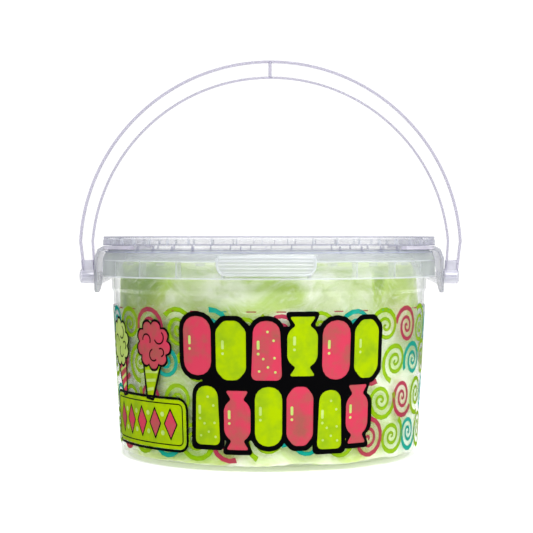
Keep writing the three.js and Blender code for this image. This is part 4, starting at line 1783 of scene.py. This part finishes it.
        # Its own weight presses the floss against the foot of the wall.
        heel = np.clip((self.heel - places[:, 2]) / self.heel, 0, 1) * np.clip(1 - gap / self.heel, 0, 1)
        gap *= 1 - np.minimum(self.heel_press * heel, 1)
        near = out > limits - self.heel
        places[:, :2] *= np.where(near, (limits - gap) / out, 1)[:, None]
        deep = np.minimum(gap, self.top - places[:, 2])
        mesh.vertices.foreach_set("co", (places * MM).ravel())
        self.mark(mesh, "fold", np.clip(deep / self.fold_depth, 0, 1))
        self.mark(mesh, "white", self.whiteness(places))
        mesh.update()

    @staticmethod
    def mark(mesh: bpy.types.Mesh, name: str, values: np.ndarray) -> None:
        """Write a number for each point, for the finish to read."""
        attribute = mesh.attributes.new(name, "FLOAT", "POINT")
        attribute.data.foreach_set("value", values.astype(np.float32))

    def whiteness(self, places: np.ndarray) -> np.ndarray:
        """Say how much whiter or greener the drifts make each point.

        Args:
            places: The points in millimetres.

        Returns:
            A number for each point, above 0 where it is whiter.
        """
        azimuths = np.degrees(np.arctan2(places[:, 0], -places[:, 1]))
        white = np.zeros(len(places))
        for drift in self.drifts:
            across = ((azimuths - drift.azimuth + 180) % 360 - 180) * math.radians(self.radius) / drift.half_width
            up = (places[:, 2] - drift.height) / drift.half_height
            # A drift is at its full strength near its middle, and gone a third past its half width.
            white += drift.white * np.clip(1.5 - 1.1 * np.hypot(across, up), 0, 1)
        # The drifts lie along the wall; towards the middle they fade out instead of running together.
        from_middle = np.hypot(places[:, 0], places[:, 1]) / self.radius
        return white * np.clip(3 * from_middle - 1.8, 0, 1)

    def thread(self, draw: random.Random) -> Workpiece:
        """Draw one loose thread on a flat panel, as a tube of three sides extruded in short steps.

        Args:
            draw: Where its length and bends come from.

        Returns:
            The thread.
        """
        deselect_all()
        bpy.ops.mesh.primitive_circle_add(
            vertices=3,
            radius=self.thread_radius * MM,
            fill_type="NGON",
            location=metres(draw.uniform(-3, 3), draw.uniform(0, 0.7), draw.uniform(-3, 3)),
            rotation=(0, math.pi / 2, 0),
        )
        thread = Workpiece.taken("thread")
        heading, curl, step = draw.gauss(0, 0.25), draw.gauss(0, 0.1), draw.uniform(0.9, 2.2)
        with thread.editing(Element.FACE):
            pick_all()
            for _ in range(self.thread_steps):
                heading += curl + draw.gauss(0, 0.12)
                reach = metres(step * math.cos(heading), 0, step * math.sin(heading))
                extrude(reach)
            pick_all()
            bpy.ops.mesh.normals_make_consistent(inside=False)
        return thread

    def loose_threads(self) -> Workpiece:
        """Copy a few locks of threads over a flat panel and wrap it round the floss, close behind the wall.

        Returns:
            The threads, as one piece.
        """
        draw = random.Random(self.seed)
        around = 2 * math.pi * self.radius
        low, high = self.floor + self.thread_margins[0], self.top - self.thread_margins[1]
        locks = []
        for _ in range(self.lock_kinds):
            lock = Workpiece.joined("floss_threads", [self.thread(draw) for _ in range(self.lock_threads)])
            places = [
                on_panel(draw.uniform(-0.5, 0.5) * around, draw.uniform(low, high), draw.uniform(0, 360))
                for _ in range(self.locks)
            ]
            locks.append(lock.copied(places))
        threads = Workpiece.joined("floss_threads", locks)
        threads.bend_round(self.radius - self.threads_inside)
        return threads


# ---- Printed sleeve ----


class Coat(Enum):
    """The inks, each with its name on the piece, its finish and how many coats can lie under it."""

    SWIRL_PINK = ("pink_swirls", SWIRL_PINK_INK, 0)
    SWIRL_LIME = ("lime_swirls", SWIRL_LIME_INK, 0)
    SWIRL_TEAL = ("teal_swirls", TEAL_INK, 0)
    PINK = ("pink", PINK_INK, 1)
    LIME = ("lime", LIME_INK, 1)
    PALE = ("pale", PALE_INK, 2)
    BLACK = ("black", BLACK_INK, 3)


@dataclass
class Label(OnTub):
    """A part of the print, drawn flat and wrapped round the film. X runs round the tub from the front."""

    bottom: float = 5.5
    top: float = 71.0
    film: float = 0.25
    clearance: float = 0.3
    ink: float = 0.03
    layer: float = 0.04
    slice: float = 2.5

    def __post_init__(self) -> None:
        """Work out the cone that the inks follow."""
        self.middle = (self.bottom + self.top) / 2
        self.radius = self.tub.outer_radius(self.middle) + self.clearance + self.film
        rise = self.tub.outer_radius(self.top) - self.tub.outer_radius(self.bottom)
        self.slope = rise / (self.top - self.bottom)

    @staticmethod
    def sheet(outline: Sequence[Corner], back: float = 0.0) -> Workpiece:
        """Fill an outline as a plate 1 mm thick, which lay_on thins to a coat of ink."""
        return Workpiece.plate("sheet", outline, 1, back)

    @staticmethod
    def punch(outline: Sequence[Corner]) -> Workpiece:
        """Fill an outline as a cutter that goes right through such a plate."""
        return Workpiece.plate("punch", outline, 3, back=1)

    @staticmethod
    def dot(radius: float, x: float, z: float) -> Workpiece:
        """Make a round plate."""
        return Workpiece.rod("dot", radius, (x, 0, z), (x, -1, z), sides=16)

    def lay_on(self, art: str, coat: Coat, plates: Sequence[Workpiece], sliced: bool = True) -> None:
        """Thin flat plates to a coat of ink, wrap it round the film and dress it.

        Args:
            art: Which part of the print it belongs to.
            coat: Its ink.
            plates: The plates, 1 mm thick from Y = 0.
            sliced: Whether the plates are wide enough to need cutting before they bend.
        """
        name, finish, under = coat.value
        piece = Workpiece.joined(f"print_{art}_{name}", plates)
        if sliced:
            piece.slice_across(self.slice)
        with piece.editing(Element.POINT):
            pick_all()
            bpy.ops.transform.resize(value=(1, self.ink, 1), center_override=(0, 0, 0))
            bpy.ops.transform.translate(value=metres(0, -self.layer * under, 0))
        piece.bend_round(self.radius)
        piece.flare(self.radius, self.slope, self.middle)
        piece.hand_over(finish.build(), Part.SLEEVE)


@dataclass
class PrintedSleeve(Label):
    """The clear film round the wall, with swirls all round it and a broken line along its top."""

    swirl_rows: int = 4
    swirl_columns: int = 28
    swirl_line: float = 1.15
    swirl_start: float = 0.75  # how far from its first centre the line starts
    swirl_turns: tuple[int, int] = (47, 81)  # degrees that each swirl is turned past its neighbour and the one below
    swirl_growth: tuple[float, ...] = (1.5, 1.7, 1.95, 2.25, 2.25)  # how far the compass point moves each half turn
    swirl_thickening: float = 1.17
    dashes: int = 36
    dash: tuple[float, float] = (4.2, 0.5)
    dash_height: float = 70.3
    covered: tuple[float, float] = (-32.0, 48.0)  # where the sweets leave no room for a swirl in the middle rows

    def build(self) -> None:
        """Make and dress the film, the swirls and the broken line."""
        self.film_piece().hand_over(CLEAR_FILM.build(), Part.SLEEVE)
        self.swirls()
        self.broken_line()

    def film_piece(self) -> Workpiece:
        """Turn the clear film.

        Returns:
            The film.
        """
        inner = [Corner(self.tub.outer_radius(z) + self.clearance, z) for z in (self.top, self.middle, self.bottom)]
        outer = [corner._replace(x=corner.x + self.film) for corner in reversed(inner)]
        return Workpiece.turned("sleeve_film", [*inner, *outer])

    def swirl(self) -> Workpiece:
        """Draw one lollipop swirl: a line carried round in half turns, each wider and thicker than the last.

        Returns:
            The swirl, 1 mm thick and flat.
        """
        at, centre = self.swirl_start, 0.0
        line = Workpiece.patch("swirl", (self.swirl_line, 1), (at, -0.5, 0))
        with line.editing(Element.FACE):
            pick_all()
            for growth in self.swirl_growth:
                bpy.ops.mesh.spin(steps=8, angle=math.pi, center=metres(centre, 0, 0), axis=(0, 1, 0))
                at = 2 * centre - at
                bpy.ops.transform.resize(value=(self.swirl_thickening, 1, 1), center_override=metres(at, 0, 0))
                centre += growth if at < centre else -growth
            line.make_sound()
        return line

    def swirls(self) -> None:
        """Print rows of swirls in brick order all round, except under the sweets."""
        places: dict[Coat, list[Matrix]] = {Coat.SWIRL_PINK: [], Coat.SWIRL_LIME: [], Coat.SWIRL_TEAL: []}
        around = 2 * math.pi * self.radius
        pitch = around / self.swirl_columns
        row_pitch = (self.top - self.bottom) / self.swirl_rows
        for row in range(self.swirl_rows):
            for column in range(self.swirl_columns):
                x = (column + 0.5 * (row % 2)) * pitch - around / 2
                z = self.bottom + (row + 0.5) * row_pitch
                if self.covered[0] < x < self.covered[1] and 0 < row < self.swirl_rows - 1:
                    continue
                if (column + row) % 2 == 0:
                    coat = Coat.SWIRL_LIME
                else:
                    coat = Coat.SWIRL_PINK if (column // 2 + row) % 2 == 0 else Coat.SWIRL_TEAL
                turn = self.swirl_turns[0] * column + self.swirl_turns[1] * row
                places[coat].append(on_panel(x, z, turn))
        for coat, spots in places.items():
            self.lay_on("film", coat, [self.swirl().copied(spots)], sliced=False)

    def broken_line(self) -> None:
        """Print the broken line of short pink and teal dashes near the film's top."""
        spacing = 2 * math.pi * self.radius / self.dashes
        outline = rectangle(-self.dash[0] / 2, self.dash[0] / 2, 0, self.dash[1])
        spots = [on_panel((i - self.dashes / 2 + 0.5) * spacing, self.dash_height) for i in range(self.dashes)]
        teal = spots[1::3]
        pink = [spot for spot in spots if spot not in teal]
        for coat, places in ((Coat.SWIRL_PINK, pink), (Coat.SWIRL_TEAL, teal)):
            self.lay_on("line", coat, [self.sheet(outline).copied(places)], sliced=False)


class Sweet(Enum):
    """The plain sweets that the print shows."""

    PILL = "pill"
    GEM = "gem"
    GUMDROP = "gumdrop"
    WRAPPED = "wrapped"


@dataclass
class SweetsPrint(Label):
    """Two rows of sweets in pink and lime, held together by one thick black outline."""

    columns: int = 6
    pitch: float = 15.6
    half_width: float = 6.7
    half_height: float = 13.0
    rows: tuple[float, float] = (54.3, 24.3)
    row_shares: tuple[float, float] = (1.0, 0.89)  # how wide each row is beside the first
    block_middle: float = 7.9
    jumble: float = 1.2  # how far the sweets stand above or below their row
    outline: float = 2.2
    trap: float = 0.15  # how far a field reaches under the black round it
    row_ground: float = 20.0  # how tall the black behind each row is
    bridge: tuple[float, float] = (0.94, 10.0)  # the black between the rows: its share of the width, and how tall

    def build(self) -> None:
        """Print the sweets, their glints and sugar grains, and the outline."""
        kinds = list(Sweet)
        coats: dict[Coat, list[Workpiece]] = {Coat.PINK: [], Coat.LIME: [], Coat.PALE: []}
        grown, windows = [], []
        for row, height in enumerate(self.rows):
            for column in range(self.columns):
                kind = kinds[(column + 2 * row) % len(kinds)]
                share = self.row_shares[row]
                x = self.block_middle + (column - (self.columns - 1) / 2) * self.pitch * share
                z = height + self.jumble * math.cos(2.1 * column + row)
                grown.append(self.sheet(self.sweet(kind, x, z, share, self.outline)))
                windows.append(self.punch(self.sweet(kind, x, z, share)))
                coat = Coat.PINK if (row + column) % 2 == 0 else Coat.LIME
                coats[coat].append(self.sheet(self.sweet(kind, x, z, share, self.trap)))
                coats[Coat.PALE] += self.details(kind, x, z)
        width = (self.columns - 1) * self.pitch
        upper, lower = ((height, share, self.row_ground) for height, share in zip(self.rows, self.row_shares))
        for height, share, tall in (upper, (sum(self.rows) / 2, *self.bridge), lower):
            grown.append(Workpiece.block("ground", (width * share, 1, tall), (self.block_middle, -0.5, height)))
        black, *others = grown
        for other in others:
            black.combine(other, Combine.JOIN)
        for window in windows:
            black.combine(window, Combine.TAKE_AWAY)
        coats[Coat.BLACK] = [black]
        for coat, plates in coats.items():
            self.lay_on("sweets", coat, plates)

    def sweet(self, kind: Sweet, x: float, z: float, share: float, grow: float = 0.0) -> list[Corner]:
        """Give a sweet's outline.

        Args:
            kind: Which sweet.
            x: Its middle along the label.
            z: Its middle height.
            share: How wide it is beside the widest.
            grow: How much larger than the coloured field it is all round.

        Returns:
            The outline's corners.
        """
        half = self.half_width * share
        w, h = half + grow, self.half_height + grow
        flare, neck, knot = 0.86 * half + grow, 0.46 * half + grow, 0.7 * self.half_height
        shapes: dict[Sweet, Sequence[tuple[float, float, float]]] = {
            Sweet.PILL: rectangle(-w, w, -h, h, 0.92 * w),
            Sweet.GEM: self.four_fold((0.45 * w, -h, 1.5), (w, -0.68 * h, 1.5)),
            Sweet.GUMDROP: [(-w, -h, 2.5), (w, -h, 2.5), (0.84 * w, h, 0.75 * w), (-0.84 * w, h, 0.75 * w)],
            Sweet.WRAPPED: self.four_fold((flare, -h, 1.2 + 0.5 * grow), (neck, -knot, 0.8), (w, -0.48 * h, 2.4)),
        }
        return [Corner(x + across, z + up, rounding) for across, up, rounding in shapes[kind]]

    @staticmethod
    def four_fold(*quarter: tuple[float, float, float]) -> list[tuple[float, float, float]]:
        """Carry the corners of the lower right quarter, given from its foot to its side, round the other three."""
        low = [(-x, z, rounding) for x, z, rounding in reversed(quarter)] + list(quarter)
        return low + [(-x, -z, rounding) for x, z, rounding in low]

    def details(self, kind: Sweet, x: float, z: float) -> list[Workpiece]:
        """Give a sweet its glint, and its sugar grains if it is a gumdrop.

        Args:
            kind: Which sweet.
            x: Its middle along the label.
            z: Its middle height.

        Returns:
            The plates.
        """
        glint = rectangle(x - 4.2, x - 3.0, z + 0.5, z + 4.4, 0.5)
        plates = [self.sheet(glint), self.dot(0.6, x - 3.6, z - 1.4)]
        if kind is Sweet.GUMDROP:
            for across, up in ((-3.2, -9), (0.6, -7.2), (3.8, -9.4), (-1.4, -3.6), (3.4, -3.2), (0.4, 8.2), (3.0, 4.4)):
                plates.append(self.dot(0.55, x + across, z + up))
        return plates


@dataclass
class SticksPrint(Label):
    """Two sticks of floss behind a plaque with a row of lozenges."""

    plaque_left: float = -95.0
    plaque_right: float = -37.5
    plaque_low: float = 8.5
    plaque_high: float = 31.0
    plaque_corner: float = 4.2
    border: float = 1.8  # how far the fine line lies inside the plaque's edge
    lozenges: int = 5
    lozenge_half: tuple[float, float] = (3.4, 6.2)
    lozenge_line: tuple[float, float] = (0.7, 1.2)  # its black line, across and up
    lozenge_margin: float = 4.0  # between the plaque's ends and the first and last lozenge's share
    bead_radius: float = 1.1
    bead_height: float = 4.2  # above and below the plaque's middle
    outline: float = 1.1
    fine_line: float = 0.5
    trap: float = 0.15  # how far a field reaches under the black round it
    cone_height: float = 15.0
    cone_half_top: float = 5.4
    cone_half_foot: float = 1.6
    puff_radius: float = 11.0
    puff_middle: float = 24.0
    puff_notch: float = 8.9  # how far from its middle the notches between scallops are
    scallops: int = 9
    stripes: tuple[float, ...] = (2.4, 6.4, 10.4)
    stripe: float = 1.4

    def build(self) -> None:
        """Print the plaque and the sticks."""
        coats: dict[Coat, list[Workpiece]] = {coat: [] for coat in (Coat.PINK, Coat.LIME, Coat.PALE, Coat.BLACK)}
        self.plaque(coats)
        self.stick(coats, on_panel(-82, self.plaque_high, -12), puff=Coat.PALE, cone=Coat.PINK)
        self.stick(coats, on_panel(-59, self.plaque_high, 7), puff=Coat.PINK, cone=Coat.LIME)
        for coat, plates in coats.items():
            self.lay_on("sticks", coat, plates)

    def plaque(self, coats: dict[Coat, list[Workpiece]]) -> None:
        """Draw the plaque: a lime field in a double black line, with pink lozenges and pale beads on it.

        Args:
            coats: Where its plates go.
        """
        coats[Coat.LIME].append(self.sheet(self.frame(0.2)))
        coats[Coat.BLACK].append(self.ring(self.frame(-self.outline), self.frame(0)))
        coats[Coat.BLACK].append(self.ring(self.frame(self.border), self.frame(self.border + self.fine_line)))
        middle = (self.plaque_low + self.plaque_high) / 2
        spacing = (self.plaque_right - self.plaque_left - 2 * self.lozenge_margin) / self.lozenges
        for i in range(self.lozenges):
            x = self.plaque_left + self.lozenge_margin + (i + 0.5) * spacing
            inner = self.lozenge(x, middle)
            coats[Coat.PINK].append(self.sheet(inner, back=-0.5))
            coats[Coat.BLACK].append(self.ring(self.lozenge(x, middle, *self.lozenge_line), inner))
            if i:
                for up in (self.bead_height, -self.bead_height):
                    coats[Coat.PALE].append(self.dot(self.bead_radius, x - spacing / 2, middle + up))

    def frame(self, inset: float) -> list[Corner]:
        """Give the plaque's outline, drawn in by a margin."""
        left, right = self.plaque_left + inset, self.plaque_right - inset
        return rectangle(left, right, self.plaque_low + inset, self.plaque_high - inset, self.plaque_corner - inset)

    def lozenge(self, x: float, z: float, wider: float = 0.0, taller: float = 0.0) -> list[Corner]:
        """Give a lozenge's outline, or that of the black line round it."""
        across, up = self.lozenge_half[0] + wider, self.lozenge_half[1] + taller
        return [Corner(x, z - up, 0.4), Corner(x + across, z, 0.4), Corner(x, z + up, 0.4), Corner(x - across, z, 0.4)]

    def ring(self, outer: list[Corner], inner: list[Corner]) -> Workpiece:
        """Cut an inner outline out of an outer one.

        Args:
            outer: The ring's outline.
            inner: Its hole's outline.

        Returns:
            The ring.
        """
        ring = self.sheet(outer)
        ring.combine(self.punch(inner), Combine.TAKE_AWAY)
        return ring

    def cone(self, grow: float) -> list[Corner]:
        """Give the paper cone's outline, from its tip up to the puff."""
        top, foot, high = self.cone_half_top + grow, self.cone_half_foot + grow, self.cone_height
        return [Corner(-foot, -grow, 0.5), Corner(foot, -grow, 0.5), Corner(top, high), Corner(-top, high)]

    def puff(self, grow: float) -> list[Corner]:
        """Give the puff's scalloped outline.

        Args:
            grow: How much larger than the coloured field it is all round.

        Returns:
            The outline's corners.
        """
        corners = []
        scallop = ((-0.26, self.puff_radius, 1.6), (0.26, self.puff_radius, 1.6), (0.5, self.puff_notch, 0.0))
        for i in range(self.scallops):
            for turn, radius, rounding in scallop:
                angle = (i + turn) * 2 * math.pi / self.scallops
                out = radius + grow
                corners.append(Corner(out * math.cos(angle), self.puff_middle + out * math.sin(angle), rounding))
        return corners

    def stick(self, coats: dict[Coat, list[Workpiece]], place: Matrix, puff: Coat, cone: Coat) -> None:
        """Draw a stick of floss.

        Args:
            coats: Where its plates go.
            place: Where its tip is and how it leans.
            puff: The puff's ink.
            cone: The cone's ink.
        """
        black = self.ring(self.cone(self.outline), self.cone(0))
        black.combine(self.sheet(self.puff(self.outline)), Combine.JOIN)
        black.combine(self.punch(self.puff(0)), Combine.TAKE_AWAY)
        coats[Coat.BLACK].append(black.put(place))
        curls = ((-4.2, 25.5, 2.7, 20), (3.8, 28.0, 2.9, 150), (1.0, 19.5, 2.6, 250), (5.6, 21.5, 1.8, 80))
        for x, z, radius, turn in curls:
            coats[Coat.BLACK].append(self.curl(radius).put(place @ on_panel(x, z, turn)))
        coats[puff].append(self.sheet(self.puff(self.trap)).put(place))
        body = self.sheet(self.cone(self.trap))
        body.combine(self.punch(self.puff(0)), Combine.TAKE_AWAY)
        coats[cone].append(body.put(place))
        for low in self.stripes:
            half = self.cone_half_foot + (self.cone_half_top - self.cone_half_foot) * low / self.cone_height
            middle, high = low + self.stripe, low + 2 * self.stripe
            stripe = [Corner(-half, low), Corner(half, middle), Corner(half, high), Corner(-half, middle)]
            coats[Coat.PALE].append(self.sheet(stripe).put(place))

    def curl(self, radius: float) -> Workpiece:
        """Draw a short curl of floss, a line carried most of the way round a circle.

        Args:
            radius: The circle's radius.

        Returns:
            The curl.
        """
        curl = Workpiece.patch("curl", (1.3 * self.fine_line, 1), (radius, -0.5, 0))
        with curl.editing(Element.FACE):
            pick_all()
            bpy.ops.mesh.spin(steps=10, angle=math.radians(210), center=(0, 0, 0), axis=(0, 1, 0))
            curl.make_sound()
        return curl


# ---- Whole ----


def main() -> None:
    """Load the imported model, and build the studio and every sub-assembly round it."""
    logging.basicConfig(level=logging.INFO, format="%(name)s: %(message)s")
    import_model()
    scene = bpy.context.scene
    scene.view_settings.view_transform = "Standard"
    scene.cycles.transparent_max_bounces = 64
    Studio().build()
    for assembly in (TubMoulding, TearTab, Ear, Lid, BailHandle, Floss, PrintedSleeve, SweetsPrint, SticksPrint):
        assembly().build()


if __name__ == "__main__":
    main()
